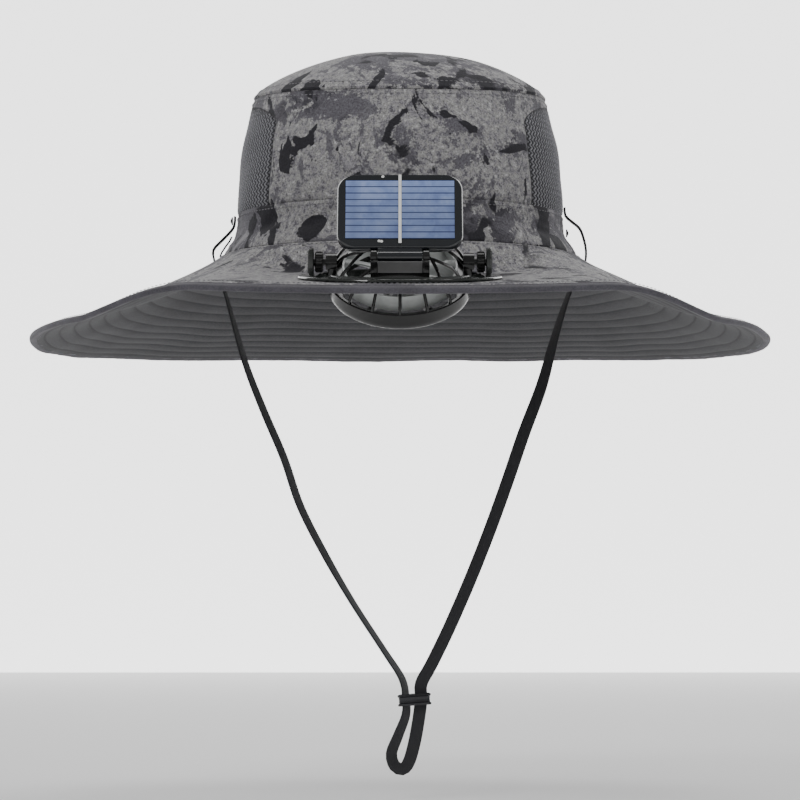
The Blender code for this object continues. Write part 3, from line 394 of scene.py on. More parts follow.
# Forms of the hat, from the sizes of the CAD frame
hat = {
    "halfWidth": 0.0905, "halfLength": 0.1000, "height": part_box("crown_tip")[1][2], "seam": 0.0847,
    "seamWave": 0.0021, "band": 0.0231, "baseWidth": 1.088, "baseLength": 1.050, "cloth": 0.0016,
    "brimWidth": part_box("brim")[1][0], "brimLength": 0.2155, "brimDrop": 0.0465, "brimCloth": 0.0024,
    "levelFrom": 0.12, "edge": 0.935, "frontFull": 30.0, "frontEnd": 56.0, "turnDown": 0.0024,
}
# Rows: share of the seam's height, width and length as shares of the half sizes
crownSections = (
    (0.000, 1.088, 1.050), (0.055, 1.060, 1.035), (0.115, 1.022, 1.014), (0.190, 1.005, 1.003),
    (0.360, 1.000, 1.000), (0.520, 0.986, 0.985), (0.700, 0.968, 0.958), (0.840, 0.938, 0.922),
    (0.930, 0.916, 0.898), (1.000, 0.900, 0.880),
)
# Rows: share of the brim's reach, share of its drop
brimSide = ((0.0, 0.0), (0.109, 0.155), (0.346, 0.420), (0.602, 0.685), (0.773, 0.828), (1.0, 1.0))
# Rows: degrees from the front, factor on the drop
brimSag = ((0.0, 0.930), (60.0, 0.930), (75.0, 0.970), (102.0, 1.040), (130.0, 1.000), (150.0, 0.935),
           (180.0, 0.895))
# Rows: angle, height, half angle, half height, lean and depth of a fold
crownFolds = (
    (-44.0, 0.20, 16.0, 0.050, 0.0060, 0.022), (-30.0, 0.15, 14.0, 0.045, 0.0050, 0.018),
    (38.0, 0.20, 18.0, 0.055, -0.0040, 0.014), (-62.0, 0.62, 14.0, 0.120, 0.0, 0.010),
    (20.0, 0.55, 22.0, 0.100, 0.0030, 0.008), (150.0, 0.30, 20.0, 0.080, 0.0030, 0.016),
    (-140.0, 0.45, 18.0, 0.090, -0.0040, 0.014),
)
pivot = Vector(joints["fan_tilt"]["pos_m"])
panelHinge = Vector(joints["panel_tilt"]["pos_m"])
drumAxis = Vector(joints["rotor_spin"]["axis"]).normalized()
plateNormal = Vector(mounts["plate_face"]["axis"]).normalized()
platePoint = Vector(mounts["plate_face"]["pos_m"])
plateDrop = (pivot - platePoint).dot(plateNormal)
plateCentre = pivot - plateNormal * plateDrop
plateThickness = 0.0016
fanTurn = Matrix.Translation(pivot) @ Matrix.Rotation(math.atan2(-drumAxis.y, drumAxis.z), 4, "X")
plateLean = math.atan2(-plateNormal.y, plateNormal.z)
plateTurn = Matrix.Translation(plateCentre) @ Matrix.Rotation(plateLean, 4, "X")
panelBack = Vector(mounts["panel_back"]["axis"])
panelTurn = Matrix.Translation(panelHinge) @ Matrix.Rotation(math.atan2(panelBack.z, panelBack.y), 4, "X")


# Smooth value between the rows of a table
def between(table, key, column):
    last = len(table) - 1
    for index in range(last):
        if key <= table[index + 1][0]:
            break
    a, b = table[index], table[index + 1]
    before, after = table[max(0, index - 1)], table[min(last, index + 2)]
    span = b[0] - a[0]
    t = max(0.0, min(1.0, (key - a[0]) / span))
    slopeA = (b[column] - before[column]) / (b[0] - before[0]) * span
    slopeB = (after[column] - a[column]) / (after[0] - a[0]) * span
    return ((2 * t ** 3 - 3 * t * t + 1) * a[column] + (t ** 3 - 2 * t * t + t) * slopeA
            + (3 * t * t - 2 * t ** 3) * b[column] + (t ** 3 - t * t) * slopeB)


def ease(share):
    share = min(1.0, max(0.0, share))
    return share * share * (3.0 - 2.0 * share)


def facing(angle):
    return Vector((math.sin(angle), -math.cos(angle), 0.0))


def seamHeight(angle):
    return hat["seam"] - hat["seamWave"] * math.cos(2.0 * angle)


def crownPoint(angle, height, lift=0.0):
    share = height / seamHeight(angle)
    pinch = 1.0
    for foldAngle, foldHeight, halfAngle, halfHeight, lean, depth in crownFolds:
        across = (math.degrees(angle) - foldAngle + 180.0) % 360.0 - 180.0
        along = share - foldHeight - lean * across
        pinch -= depth * math.exp(-(across / halfAngle) ** 2 - (along / halfHeight) ** 2)
    width = hat["halfWidth"] * between(crownSections, share, 1) * pinch
    length = hat["halfLength"] * between(crownSections, share, 2) * pinch
    outward = facing(angle)
    point = Vector((width * outward.x, length * outward.y, height))
    soft = noise.noise(Vector((point.x, point.y, point.z * 1.4)) * 34.0) * 0.0007
    shift = math.degrees(angle) * 0.05
    creases = abs(noise.noise(Vector((point.x * 60.0, point.y * 60.0, point.z * 150.0 + shift))))
    soft -= 0.0011 * creases * ease((0.34 - share) / 0.2)
    return point + outward * (soft + lift)


def plateSeat(y):
    slope = -plateNormal.y / plateNormal.z
    return plateCentre.z + slope * (y - plateCentre.y) - (plateThickness + 0.0003) / plateNormal.z


def brimPoint(angle, share):
    baseWidth, baseLength = hat["halfWidth"] * hat["baseWidth"], hat["halfLength"] * hat["baseLength"]
    x = (baseWidth + share * (hat["brimWidth"] - baseWidth)) * math.sin(angle)
    y = -(baseLength + share * (hat["brimLength"] - baseLength)) * math.cos(angle)
    fromFront = abs((math.degrees(angle) + 180.0) % 360.0 - 180.0)
    side = -hat["brimDrop"] * between(brimSag, fromFront, 1) * between(brimSide, share, 1)
    front = plateSeat(y) * ease(share / hat["levelFrom"])
    front -= hat["turnDown"] * max(0.0, (share - hat["edge"]) / (1.0 - hat["edge"]))
    blend = ease((hat["frontEnd"] - fromFront) / (hat["frontEnd"] - hat["frontFull"]))
    ripple = noise.noise(Vector((x, y, 0.0)) * 22.0) * 0.0012 * ease(share * 3.0) * (1.0 - blend)
    return Vector((x, y, side + blend * (front - side) + ripple))


def brimNormal(angle, share):
    across = brimPoint(angle + 0.01, share) - brimPoint(angle - 0.01, share)
    low, high = max(0.0, share - 0.01), min(1.0, share + 0.01)
    outward = brimPoint(angle, high) - brimPoint(angle, low)
    return outward.cross(across).normalized()


# Brim with its quilted underside
brim = {"columns": 224, "topRows": 34, "underRows": 104, "quiltRows": 13, "quiltDepth": 0.0007,
        "holeRadius": 0.0415, "slotWidth": 0.0030, "slotLength": 0.0090, "slotAt": 0.1025}


def makeBrim(sizes):
    rows = sizes["topRows"] + sizes["underRows"]

    def place(across, along):
        angle = math.tau * across
        row = along * rows
        if row <= sizes["underRows"]:  # underside, from the crown outwards
            share = row / sizes["underRows"]
            wave = abs(math.sin(math.pi * sizes["quiltRows"] * share))
            puff = sizes["quiltDepth"] * wave ** 0.6
            normal = brimNormal(angle, share)
            level = share * (1.0 + 0.02 / (0.4 + share)) if share < 1.0 else 1.0
            depth = hat["brimCloth"] - 0.0005 - 0.0006 * ease((share - 0.9) / 0.1) + puff
            point = brimPoint(angle, min(1.0, level)) - normal * depth
            # Mask of the quilting valleys, where the underside's finish paints shade
            valleyShade = max(0.0, 1.0 - wave / 0.28)
            return point, valleyShade
        share = 1.0 - (row - sizes["underRows"]) / sizes["topRows"]
        return brimPoint(angle, share), 0.0

    mesh = gridSheet(sizes["columns"], rows, place, "valleyShade")
    bmesh.ops.bridge_loops(mesh, edges=openEdges(mesh))
    faceOut(mesh)
    for face in mesh.faces:
        face.material_index = 1 if face.normal.z < 0.0 else 0
    for side in (-1, 1):
        middle = side * sizes["slotAt"]
        inside = [face for face in mesh.faces
                  if abs(face.calc_center_median().x - middle) < sizes["slotWidth"] / 2
                  and abs(face.calc_center_median().y) < sizes["slotLength"] / 2]
        bmesh.ops.delete(mesh, geom=inside, context="FACES")
    piece = addPiece("brimCloth", mesh, "brimCloth quiltCloth", "hat", ("brim",), 60.0)
    cutMesh = bmesh.new()
    bmesh.ops.create_cone(cutMesh, cap_ends=True, segments=128, radius1=sizes["holeRadius"],
                          radius2=sizes["holeRadius"], depth=0.05, matrix=plateTurn)
    cutter = linkObject("fanHole", meshData("fanHole", cutMesh))
    modifier = piece.modifiers.new("fanHole", "BOOLEAN")
    modifier.object = cutter
    modifier.solver = "EXACT"
    graph = bpy.context.evaluated_depsgraph_get()
    cut = bpy.data.meshes.new_from_object(piece.evaluated_get(graph))
    piece.modifiers.remove(modifier)
    piece.data = cut
    bpy.data.objects.remove(cutter, do_unlink=True)


makeBrim(brim)
print("brim made")

# Binding folded round the brim's edge
binding = {"columns": 288, "width": 0.0042, "clear": 0.0002, "cloth": 0.0007}


def makeBinding(sizes):
    width, over = sizes["width"], sizes["clear"] + sizes["cloth"]
    under = hat["brimCloth"] - 0.0009 + sizes["cloth"]
    section = [(-width, 0.0), (-width, over * 0.8), (-width * 0.93, over), (-width * 0.72, over),
               (-width * 0.66, over * 0.78), (-width * 0.6, over), (-width * 0.4, over * 1.05),
               (-width * 0.2, over * 1.05)]
    middle, radius = (over - under) / 2, (over + under) / 2
    for step in range(9):
        turn = math.pi * step / 8
        section.append((radius * 0.8 * math.sin(turn), middle + radius * math.cos(turn)))
    section += [(-width * 0.25, -under * 1.02), (-width * 0.6, -under * 1.02), (-width * 0.66, -under * 0.9),
                (-width * 0.72, -under), (-width, -under), (-width, -under * 0.6)]
    count = len(section)

    def place(across, along):
        angle = math.tau * across
        edge = brimPoint(angle, 1.0)
        outward = (edge - brimPoint(angle, hat["edge"])).normalized()
        tangent = (brimPoint(angle + 0.01, 1.0) - brimPoint(angle - 0.01, 1.0)).normalized()
        outward = (outward - tangent * outward.dot(tangent)).normalized()
        out, up = section[round(along * count) % count]
        pucker = 1.0 + 0.10 * noise.noise(Vector((angle * 40.0, along * 4.0, 0.0)))
        return edge + outward * out + outward.cross(tangent) * (up * pucker)

    mesh = gridSheet(sizes["columns"], count, place)
    faceOut(mesh)
    addPiece("brimEdge", mesh, "edgeTape", "hat", ("brim_binding",), 60.0)


makeBinding(binding)
print("binding made")

# Crown: tip, front, back, band and the two mesh panels
crown = {"meshHalf": 38.0, "archStart": 0.70, "archTop": 0.93, "groove": 0.0006, "grooveWidth": 0.0013}


def wallHeight(angle, share):
    return hat["band"] + share * (seamHeight(angle) - hat["band"])


def meshHalfAngle(share):
    if share <= crown["archStart"]:
        return crown["meshHalf"]
    if share >= crown["archTop"]:
        return 0.0
    rise = (share - crown["archStart"]) / (crown["archTop"] - crown["archStart"])
    return crown["meshHalf"] * math.sqrt(max(0.0, 1.0 - rise * rise))


def groove(distance):
    return -crown["groove"] * math.exp(-(distance / crown["grooveWidth"]) ** 2)


# Shares of the wall's height, closer together round the top of the mesh's arch
def wallShares(lowRows, archRows, highRows):
    start, top = crown["archStart"], crown["archTop"]
    low = [start * step / lowRows for step in range(lowRows)]
    arch = [start + (top - start) * math.sin(math.pi / 2 * step / archRows) for step in range(archRows)]
    high = [top + (1.0 - top) * step / highRows for step in range(highRows + 1)]
    return low + arch + high


def makeCrownPanel(name, replaced, middle):
    shares = wallShares(36, 18, 6)

    def place(across, along):
        share = shares[round(along * (len(shares) - 1))]
        half = 90.0 - meshHalfAngle(share)
        turn = (2.0 * across - 1.0) * half
        angle = math.radians(middle + turn)
        edge = math.radians(half - abs(turn)) * hat["halfWidth"]
        height = wallHeight(angle, share)
        top = seamHeight(angle) - height
        return crownPoint(angle, height, groove(edge) + groove(top) + groove(height - hat["band"]))

    mesh = gridSheet(110, len(shares) - 1, place)
    thicken(addPiece(name, mesh, "crownCloth", "hat", (replaced,), 60.0), hat["cloth"])


def makeBand():
    def place(across, along):
        angle = math.tau * across
        height = 0.0002 + along * (hat["band"] - 0.0002)
        return crownPoint(angle, height, groove(hat["band"] - height) + groove(height) * 0.6)

    thicken(addPiece("crownBand", gridSheet(260, 26, place), "crownCloth", "hat", ("crown_band",),
                     60.0), hat["cloth"])


def makeTip():
    def place(across, along):
        angle = math.tau * across
        foot = seamHeight(angle) + 0.0001
        edge = crownPoint(angle, foot)
        ring = 1.0 - max(0.0, (along - 0.05) / 0.95)
        rise = foot + 0.0015 * min(1.0, along / 0.05)
        dome = (1.0 - ring ** 2.2) ** 0.85
        height = rise + (hat["height"] - rise) * dome
        dent = noise.noise(Vector((edge.x * ring, edge.y * ring, 0.3)) * 26.0) * 0.0011 * (1.0 - ring ** 4)
        lip = groove(along * 0.03) if along < 0.1 else 0.0
        return Vector((edge.x * ring, edge.y * ring, height + dent)) + facing(angle) * lip

    thicken(addPiece("crownTip", gridSheet(220, 40, place), "tipCloth", "hat", ("crown_tip",),
                     60.0), hat["cloth"])


knit = {"ribs": 38, "courses": 40, "depth": 0.0011, "sway": 0.34}


def makeKnit(name, replaced, middle):
    top = crown["archTop"]

    def place(across, along):
        share = along * top
        half = meshHalfAngle(share)
        turn = (2.0 * across - 1.0) * half
        angle = math.radians(middle + turn)
        height = wallHeight(angle, share)
        column = turn / crown["meshHalf"] * knit["ribs"] / 2
        course = height / (hat["seam"] - hat["band"]) * knit["courses"]
        lean = knit["sway"] * math.asin(math.sin(math.pi * course)) / (math.pi / 2)
        rib = 0.5 + 0.5 * math.cos(math.tau * (column + lean))
        loop = 0.88 + 0.12 * math.cos(math.tau * (course + 0.5 * round(column + lean)))
        relief = rib ** 0.8 * loop
        edge = math.radians(half - abs(turn)) * hat["halfWidth"]
        fade = ease(edge / 0.002)
        lift = knit["depth"] * (relief - 0.75) * fade + groove(edge) + groove(height - hat["band"])
        # The relief, dimmed towards the panel's edges, goes to the knit finish, which paints shade in the gaps
        # and at the edges and highlight on the crests
        return crownPoint(angle, height, lift), relief * (0.5 + 0.5 * fade)

    mesh = gridSheet(300, 128, place, "relief")
    piece = addPiece(name, mesh, "knitCloth", "hat", (replaced,), 80.0)
    thicken(piece, hat["cloth"] * 0.7)


makeTip()
makeCrownPanel("crownFront", "crown_front", 0.0)
makeCrownPanel("crownBack", "crown_back", 180.0)
makeBand()
makeKnit("meshLeft", "mesh_left", -90.0)
makeKnit("meshRight", "mesh_right", 90.0)
print("crown made")

# Topstitching along the seams
stitch = {"length": 0.0021, "pitch": 0.0029, "width": 0.00062, "height": 0.00045, "belowSeam": 0.0024,
          "belowBand": 0.0022, "brimBase": 0.018, "brimEdge": 0.951, "edgeLift": 0.0010, "tipRing": 0.965}


def addStitches(mesh, path, length, normalAt):
    count = int(length / stitch["pitch"])
    for step in range(count):
        share = (step + 0.5) / count
        centre = path(share)
        along = (path(share + 0.002) - path(share - 0.002)).normalized()
        normal = normalAt(share)
        side = normal.cross(along).normalized()
        axes = Matrix((along, side, normal)).transposed().to_4x4()
        size = Matrix.Diagonal((stitch["length"] / 2, stitch["width"] / 2, stitch["height"] / 2, 1.0))
        bmesh.ops.create_icosphere(mesh, subdivisions=1, radius=1.0,
                                   matrix=Matrix.Translation(centre + normal * 0.0001) @ axes @ size)


def roundCrown(heightAt):
    return lambda share: crownPoint(math.tau * share, heightAt(math.tau * share))


def makeStitching():
    mesh = bmesh.new()
    girth = math.tau * math.sqrt((hat["halfWidth"] ** 2 + hat["halfLength"] ** 2) / 2)

    def outward(share):
        return facing(math.tau * share)

    def domeNormal(share):
        return (outward(share) + Vector((0, 0, 1.0))).normalized()

    def tipPath(share):
        angle = math.tau * share
        foot = seamHeight(angle)
        edge, ring = crownPoint(angle, foot), stitch["tipRing"]
        height = foot + 0.0016 + (hat["height"] - foot - 0.0016) * (1.0 - ring ** 2.2) ** 0.85
        return Vector((edge.x * ring, edge.y * ring, height))

    addStitches(mesh, tipPath, girth * 0.9, domeNormal)
    addStitches(mesh, roundCrown(lambda angle: seamHeight(angle) - stitch["belowSeam"]), girth * 0.9, outward)
    addStitches(mesh, roundCrown(lambda angle: hat["band"] - stitch["belowBand"]), girth, outward)
    addStitches(mesh, lambda share: brimPoint(math.tau * share, stitch["brimBase"]), girth * 1.1,
                lambda share: brimNormal(math.tau * share, stitch["brimBase"]))

    def edgeNormal(share):
        return brimNormal(math.tau * share, 0.95)

    def edgePath(share):
        return brimPoint(math.tau * share, stitch["brimEdge"]) + edgeNormal(share) * stitch["edgeLift"]

    addStitches(mesh, edgePath, math.tau * hat["brimLength"] * 0.97, edgeNormal)
    addPiece("topstitching", mesh, "thread", "hat", (), 80.0)


makeStitching()
print("stitching made")

# Oval plate with its collar, ears and the drum's knobs
plate = {"halfWidth": 0.0525, "halfLength": 0.0430, "hole": 0.0400, "collarWall": 0.0012,
         "collarDepth": 0.0052, "earInset": 0.0440, "earThickness": 0.0025, "earWidth": 0.0120,
         "earHeight": 0.0138, "knob": 0.0050}


def makePlate(sizes):
    deep, wall = sizes["collarDepth"], sizes["collarWall"]
    section = ((0.0, 0.0, -deep), (0.0, 0.0, 0.0006), (0.0, 0.0005, 0.0011), (0.0, 0.0012, 0.0011),
               (0.06, 0.0016, 0.0004), (0.5, 0.0, 0.0003), (0.9, 0.0, 0.0), (1.0, -0.0004, -0.0003),
               (1.0, 0.0, -0.0009), (1.0, -0.0005, -0.0016), (0.5, 0.0, -0.0016), (0.0, wall, -0.0017),
               (0.0, wall, -deep))
    count = len(section)

    def place(across, along):
        direction = facing(math.tau * across)
        oval = Vector((sizes["halfWidth"] * direction.x, sizes["halfLength"] * direction.y, 0.0))
        width, extra, height = section[round(along * count) % count]
        flat = direction * sizes["hole"] * (1.0 - width) + oval * width + direction * extra
        return plateTurn @ Vector((flat.x, flat.y, height))

    mesh = gridSheet(160, count, place)
    for side in (-1, 1):
        near, far = sorted((side * sizes["earInset"], side * (sizes["earInset"] + sizes["earThickness"])))
        halfWidth = sizes["earWidth"] / 2
        roundBox(mesh, (near, -halfWidth, -0.0008), (far, halfWidth, sizes["earHeight"]), 0.0006, 3, plateTurn)
        outer = side * (sizes["earInset"] + sizes["earThickness"])
        low, high = sorted((outer - side * 0.0002, outer + side * 0.0005))
        for rib in range(5):  # raised ribs on the ear's outer face
            y = (rib - 2) * sizes["earWidth"] / 5.4
            roundBox(mesh, (low, y - 0.0006, 0.0012), (high, y + 0.0006, sizes["earHeight"] - 0.0012),
                     0.0002, 1, plateTurn)
    faceOut(mesh)
    addPiece("fanPlate", mesh, "plateGloss", "hat", ("mount_plate",), 35.0)


makePlate(plate)

# Fan: cage with its forked ribs, knobs and rotor
fan = {"radius": 0.0370, "rise": 0.0125, "dome": 0.0105, "depth": 0.0184, "wall": 0.0018, "ring": 0.0099,
       "footRadius": 0.0350, "taper": 0.0044, "forks": 8, "hub": 0.0090, "forkRadius": 0.0195,
       "branchRadius": 0.0290, "rib": 0.00085, "ribSteps": 5, "endSteps": 8, "blockHalf": 0.0148,
       "blockBack": -0.0230, "blockDepth": 0.0081, "pivotFrom": 0.0323, "pivotHalf": 0.0042,
       "pinFrom": 0.0324, "pinRadius": 0.0020, "knurls": 18}
# Rows: share of the radius, share of the dome's height
domeProfile = ((0.257, 1.0), (0.40, 0.955), (0.540, 0.875), (0.68, 0.745), (0.810, 0.565), (0.89, 0.38),
               (0.945, 0.20), (0.98, 0.08), (0.985, -0.03))


def polar(radius, angle, height):
    return Vector((radius * math.cos(angle), radius * math.sin(angle), height))


def joinInto(mesh, other):
    scratch = meshData("joined", other)
    mesh.from_mesh(scratch)
    bpy.data.meshes.remove(scratch)


# Round rib through points of the fan's own frame
def addRib(mesh, points, radius):
    last = len(points) - 1

    def place(across, along):
        index = round(along * last)
        tangent = (points[min(last, index + 1)] - points[max(0, index - 1)]).normalized()
        out = Vector((points[index].x, points[index].y, 0.02)).normalized()
        side = tangent.cross(out).normalized()
        turn = math.tau * across
        shift = side * math.cos(turn) + side.cross(tangent) * math.sin(turn)
        return fanTurn @ (points[index] + shift * radius)

    rib = gridSheet(8, last, place)
    fillHoles(rib)
    joinInto(mesh, rib)


# Point on the cage's dome at a radius, just under its outer face
def domePoint(radius, angle, sizes):
    low = -sizes["depth"] + sizes["ring"]
    share = between(domeProfile, radius / sizes["radius"], 1)
    return polar(radius - 0.0004, angle, low + share * (sizes["dome"] - low))


def addForks(mesh, sizes):
    hub, fork, reach = sizes["hub"] - 0.001, sizes["forkRadius"], sizes["branchRadius"]
    run, rest = fork - sizes["hub"] + 0.001, sizes["radius"] * 0.982 - reach
    steps, ends = sizes["ribSteps"], sizes["endSteps"]
    ringTop = -sizes["depth"] + sizes["ring"]
    pitch = math.tau / sizes["forks"]
    for index in range(sizes["forks"]):
        angle = (index + 0.25) * pitch
        main = [domePoint(hub + step * run / steps, angle, sizes) for step in range(steps + 1)]
        addRib(mesh, main, sizes["rib"])
        for side in (-1, 1):
            branch = []
            for step in range(steps + 1):
                share = step / steps
                bend = angle + side * share ** 0.8 * pitch / 4
                branch.append(domePoint(fork + share * (reach - fork), bend, sizes))
            last = angle + side * pitch / 4
            branch += [domePoint(reach + rest * math.sin(step / ends * math.pi / 2), last, sizes)
                       for step in range(1, ends + 1)]
            branch.append(polar(sizes["radius"] * 0.98 - 0.0003, last, ringTop - 0.0010))
            addRib(mesh, branch, sizes["rib"])


def makeHousing(sizes):
    radius, wall = sizes["radius"], sizes["wall"]
    foot, footRadius = -sizes["depth"], sizes["footRadius"]
    ledge, ringTop = foot + sizes["taper"], foot + sizes["ring"]
    mesh = bmesh.new()
    lower = [(footRadius - 0.0005, foot), (footRadius + 0.0002, foot + 0.0004)]
    for step in range(1, 6):  # rounded towards the foot
        share = step / 5
        lower.append((footRadius + (radius - footRadius) * math.sin(share * math.pi / 2) ** 0.8,
                      foot + sizes["taper"] * share))
    lower += [(radius, ringTop - 0.0006), (radius - 0.0005, ringTop), (radius - wall, ringTop),
              (radius - wall, ledge), (footRadius - wall, foot)]
    spun(mesh, lower[::-1], 120, turn=fanTurn)
    addForks(mesh, sizes)
    dome, hub = sizes["dome"], sizes["hub"]
    spun(mesh, [(0.0, dome + 0.0012), (0.0045, dome + 0.0011), (hub - 0.001, dome + 0.0005),
                (hub, dome - 0.0004), (hub, dome - 0.0018), (0.0, dome - 0.0018)], 64, turn=fanTurn)
    half, back = sizes["blockHalf"], sizes["blockBack"]
    front = back - sizes["blockDepth"]
    roundBox(mesh, (-half, front, 0.0006), (half, back, sizes["rise"]), 0.0005, 2, fanTurn)
    for side in (-1, 1):
        near, far = sorted((side * sizes["pivotFrom"], side * radius))
        roundBox(mesh, (near, -sizes["pivotHalf"], ringTop - 0.0020), (far, sizes["pivotHalf"], 0.0),
                 0.0006, 2, fanTurn)
    faceOut(mesh)
    addPiece("fanHousing", mesh, "fanGloss", "fan", ("fan_housing",), 38.0)


def makeKnobs(sizes):
    mesh = bmesh.new()
    knob, pin, start = plate["knob"], sizes["pinRadius"], sizes["pinFrom"]
    collar, inner = sizes["radius"] + 0.0009, plate["earInset"] - 0.0006
    profile = [(0.0, start), (knob - 0.0005, start), (knob - 0.0005, collar), (pin, collar),
               (pin, inner - 0.0042), (knob - 0.0003, inner - 0.0042), (knob, inner - 0.0038),
               (knob, inner - 0.0004), (knob - 0.0003, inner), (pin, inner), (pin, inner + 0.0029),
               (0.0, inner + 0.0029)]
    for side in (-1, 1):
        mirror = Matrix.Scale(-1.0, 4, (1, 0, 0)) if side < 0 else Matrix.Identity(4)
        spun(mesh, profile, 48, "X", fanTurn @ mirror)
        low, high = sorted((side * (inner - 0.0038), side * (inner - 0.0004)))
        for tooth in range(sizes["knurls"]):
            turn = Matrix.Rotation(math.tau * tooth / sizes["knurls"], 4, "X")
            roundBox(mesh, (low, knob - 0.0003, -0.0004), (high, knob + 0.0004, 0.0004), 0.0002, 1,
                     fanTurn @ turn)
    faceOut(mesh)
    addPiece("tiltKnobs", mesh, "fanGloss", "fan", (), 35.0)


rotor = {"radius": 0.0295, "hub": 0.0085, "half": 0.0045, "drop": 0.0065, "blades": 9, "pitch": 32.0,
         "chordRoot": 0.0056, "chordTip": 0.0150, "thickness": 0.0009, "shroud": 0.0010}


def makeRotor(sizes):
    level = fanTurn @ Matrix.Translation((0, 0, -sizes["drop"]))
    mesh = bmesh.new()
    half, hub = sizes["half"], sizes["hub"]
    spun(mesh, [(0.0, half), (hub - 0.0012, half), (hub - 0.0004, half - 0.0003), (hub, half - 0.0012),
                (hub, -half), (0.0018, -half), (0.0018, half / 2), (0.0, half / 2)], 64, turn=level)
    outer, inner = sizes["radius"], sizes["radius"] - sizes["shroud"]
    spun(mesh, [(inner, -half), (outer, -half), (outer, half - 0.0004), (inner, half - 0.0004)][::-1],
         120, turn=level)
    for step in range(sizes["blades"]):
        turn = Matrix.Rotation(math.tau * step / sizes["blades"], 4, "Z")

        def place(across, along):
            radius = hub - 0.0006 + along * (inner - hub + 0.0010)
            chord = sizes["chordRoot"] + (sizes["chordTip"] - sizes["chordRoot"]) * along ** 0.8
            pitch = math.radians(sizes["pitch"] + 12.0 * (1.0 - along))
            upper = across <= 0.5
            share = across * 4.0 - 1.0 if upper else 3.0 - across * 4.0
            camber = 0.0016 * (1.0 - share * share)
            half = sizes["thickness"] / 2 if upper else -sizes["thickness"] / 2
            y, z = share * chord / 2, camber + half * (1.0 - share ** 4 * 0.6)
            reach = math.sqrt(max(0.0, radius ** 2 - (y * math.cos(pitch)) ** 2))
            return Vector((reach, y * math.cos(pitch) - z * math.sin(pitch),
                           y * math.sin(pitch) + z * math.cos(pitch)))

        blade = gridSheet(16, 10, place)
        fillHoles(blade)
        bmesh.ops.transform(blade, matrix=level @ turn, verts=blade.verts)
        joinInto(mesh, blade)
    faceOut(mesh)
    addPiece("fanRotor", mesh, "blades", "rotor", ("rotor",), 40.0)


makeHousing(fan)
makeKnobs(fan)
makeRotor(rotor)
print("fan made")

# Stand and solar panel
panel = {"width": 0.0635, "height": 0.0445, "thickness": 0.0055, "corner": 0.0090, "toHinge": 0.0035,
         "cellHeight": 0.0350, "cellRise": 0.0055, "cellStrips": 9, "barrel": 0.0026, "standWidth": 0.0296,
         "cheek": 0.0033, "standDepth": 0.0081, "standBase": 0.0027, "setback": 0.0262, "rise": 0.0067,
         "eye": 0.0032}


def makeStand(sizes):
    mesh = bmesh.new()
    foot = fan["rise"] + 0.0003
    back = -sizes["setback"] + sizes["eye"]
    front, hinge = back - sizes["standDepth"], foot + sizes["rise"]
    half, eye = sizes["standWidth"] / 2, sizes["eye"]
    inner = half - sizes["cheek"]
    roundBox(mesh, (-half, front + 0.0011, foot), (half, back, foot + sizes["standBase"]), 0.0003, 2, fanTurn)
    for side in (-1, 1):
        near, far = sorted((side * inner, side * half))
        roundBox(mesh, (near, front, foot), (far, back, hinge), 0.0004, 2, fanTurn)
        eyeTurn = fanTurn @ Matrix.Translation((0, -sizes["setback"], hinge))
        spun(mesh, [(0.0015, near), (eye - 0.0003, near), (eye, near + 0.0003), (eye, far - 0.0003),
                    (eye - 0.0003, far), (0.0015, far)], 40, "X", eyeTurn)
    faceOut(mesh)
    addPiece("panelStand", mesh, "fanGloss", "fan", ("panel_stand",), 35.0)


def roundedFrame(halfX, halfZ, corner, steps=12):
    outline = []
    for quarter, (signX, signZ) in enumerate(((1, 1), (-1, 1), (-1, -1), (1, -1))):
        for step in range(steps + 1):
            turn = math.pi / 2 * (quarter + step / steps)
            outline.append((signX * (halfX - corner) + corner * math.cos(turn),
                            signZ * (halfZ - corner) + corner * math.sin(turn)))
    return outline


def makePanel(sizes):
    middle = sizes["toHinge"] + sizes["height"] / 2
    halfX, halfZ, deep = sizes["width"] / 2, sizes["height"] / 2, sizes["thickness"] / 2
    outline = roundedFrame(halfX, halfZ, sizes["corner"])
    count = len(outline)
    # Section of the case from the front's inside to the back: inset of the outline, depth along Y
    section = ((0.0026, -deep + 0.0003), (0.0016, -deep), (0.0008, -deep + 0.0001), (0.0002, -deep + 0.0008),
               (0.0, -deep + 0.0018), (0.0, deep - 0.0016), (0.0004, deep - 0.0005), (0.0014, deep))

    def place(across, along):
        x, z = outline[round(across * count) % count]
        inset, y = section[round(along * (len(section) - 1))]
        return panelTurn @ Vector((x * (1.0 - inset / halfX), y, middle + z * (1.0 - inset / halfZ)))

    mesh = gridSheet(count, len(section) - 1, place)
    fillHoles(mesh)
    inner, barrel = sizes["standWidth"] / 2 - sizes["cheek"] - 0.0003, sizes["barrel"]
    spun(mesh, [(0.0, -inner), (barrel, -inner), (barrel, inner), (0.0, inner)], 40, "X", panelTurn)
    roundBox(mesh, (-inner, -0.0020, 0.0), (inner, 0.0020, sizes["toHinge"] + 0.0008), 0.0003, 2, panelTurn)
    pin = sizes["standWidth"] / 2 + 0.0002
    spun(mesh, [(0.0, -pin), (0.0013, -pin), (0.0013, pin), (0.0, pin)], 24, "X", panelTurn)
    faceOut(mesh)
    addPiece("panelCase", mesh, "caseGloss", "panel", ("panel_frame",), 35.0)

    dots = bmesh.new()  # solder dots beside the conductor
    low = sizes["toHinge"] + sizes["cellRise"]
    top = low + sizes["cellHeight"]
    for x, z in ((-0.0093, low - 0.0017), (-0.0087, top + 0.0022), (-0.0105, low - 0.0015)):
        spun(dots, [(0.0, 0.0004), (0.0005, 0.0003), (0.0008, 0.0), (0.0, 0.0)], 14,
             turn=panelTurn @ Matrix.Translation((x, -deep, z)) @ Matrix.Rotation(math.pi / 2, 4, "X"))
    addPiece("solderDots", dots, "busSilver", "panel", (), 40.0)


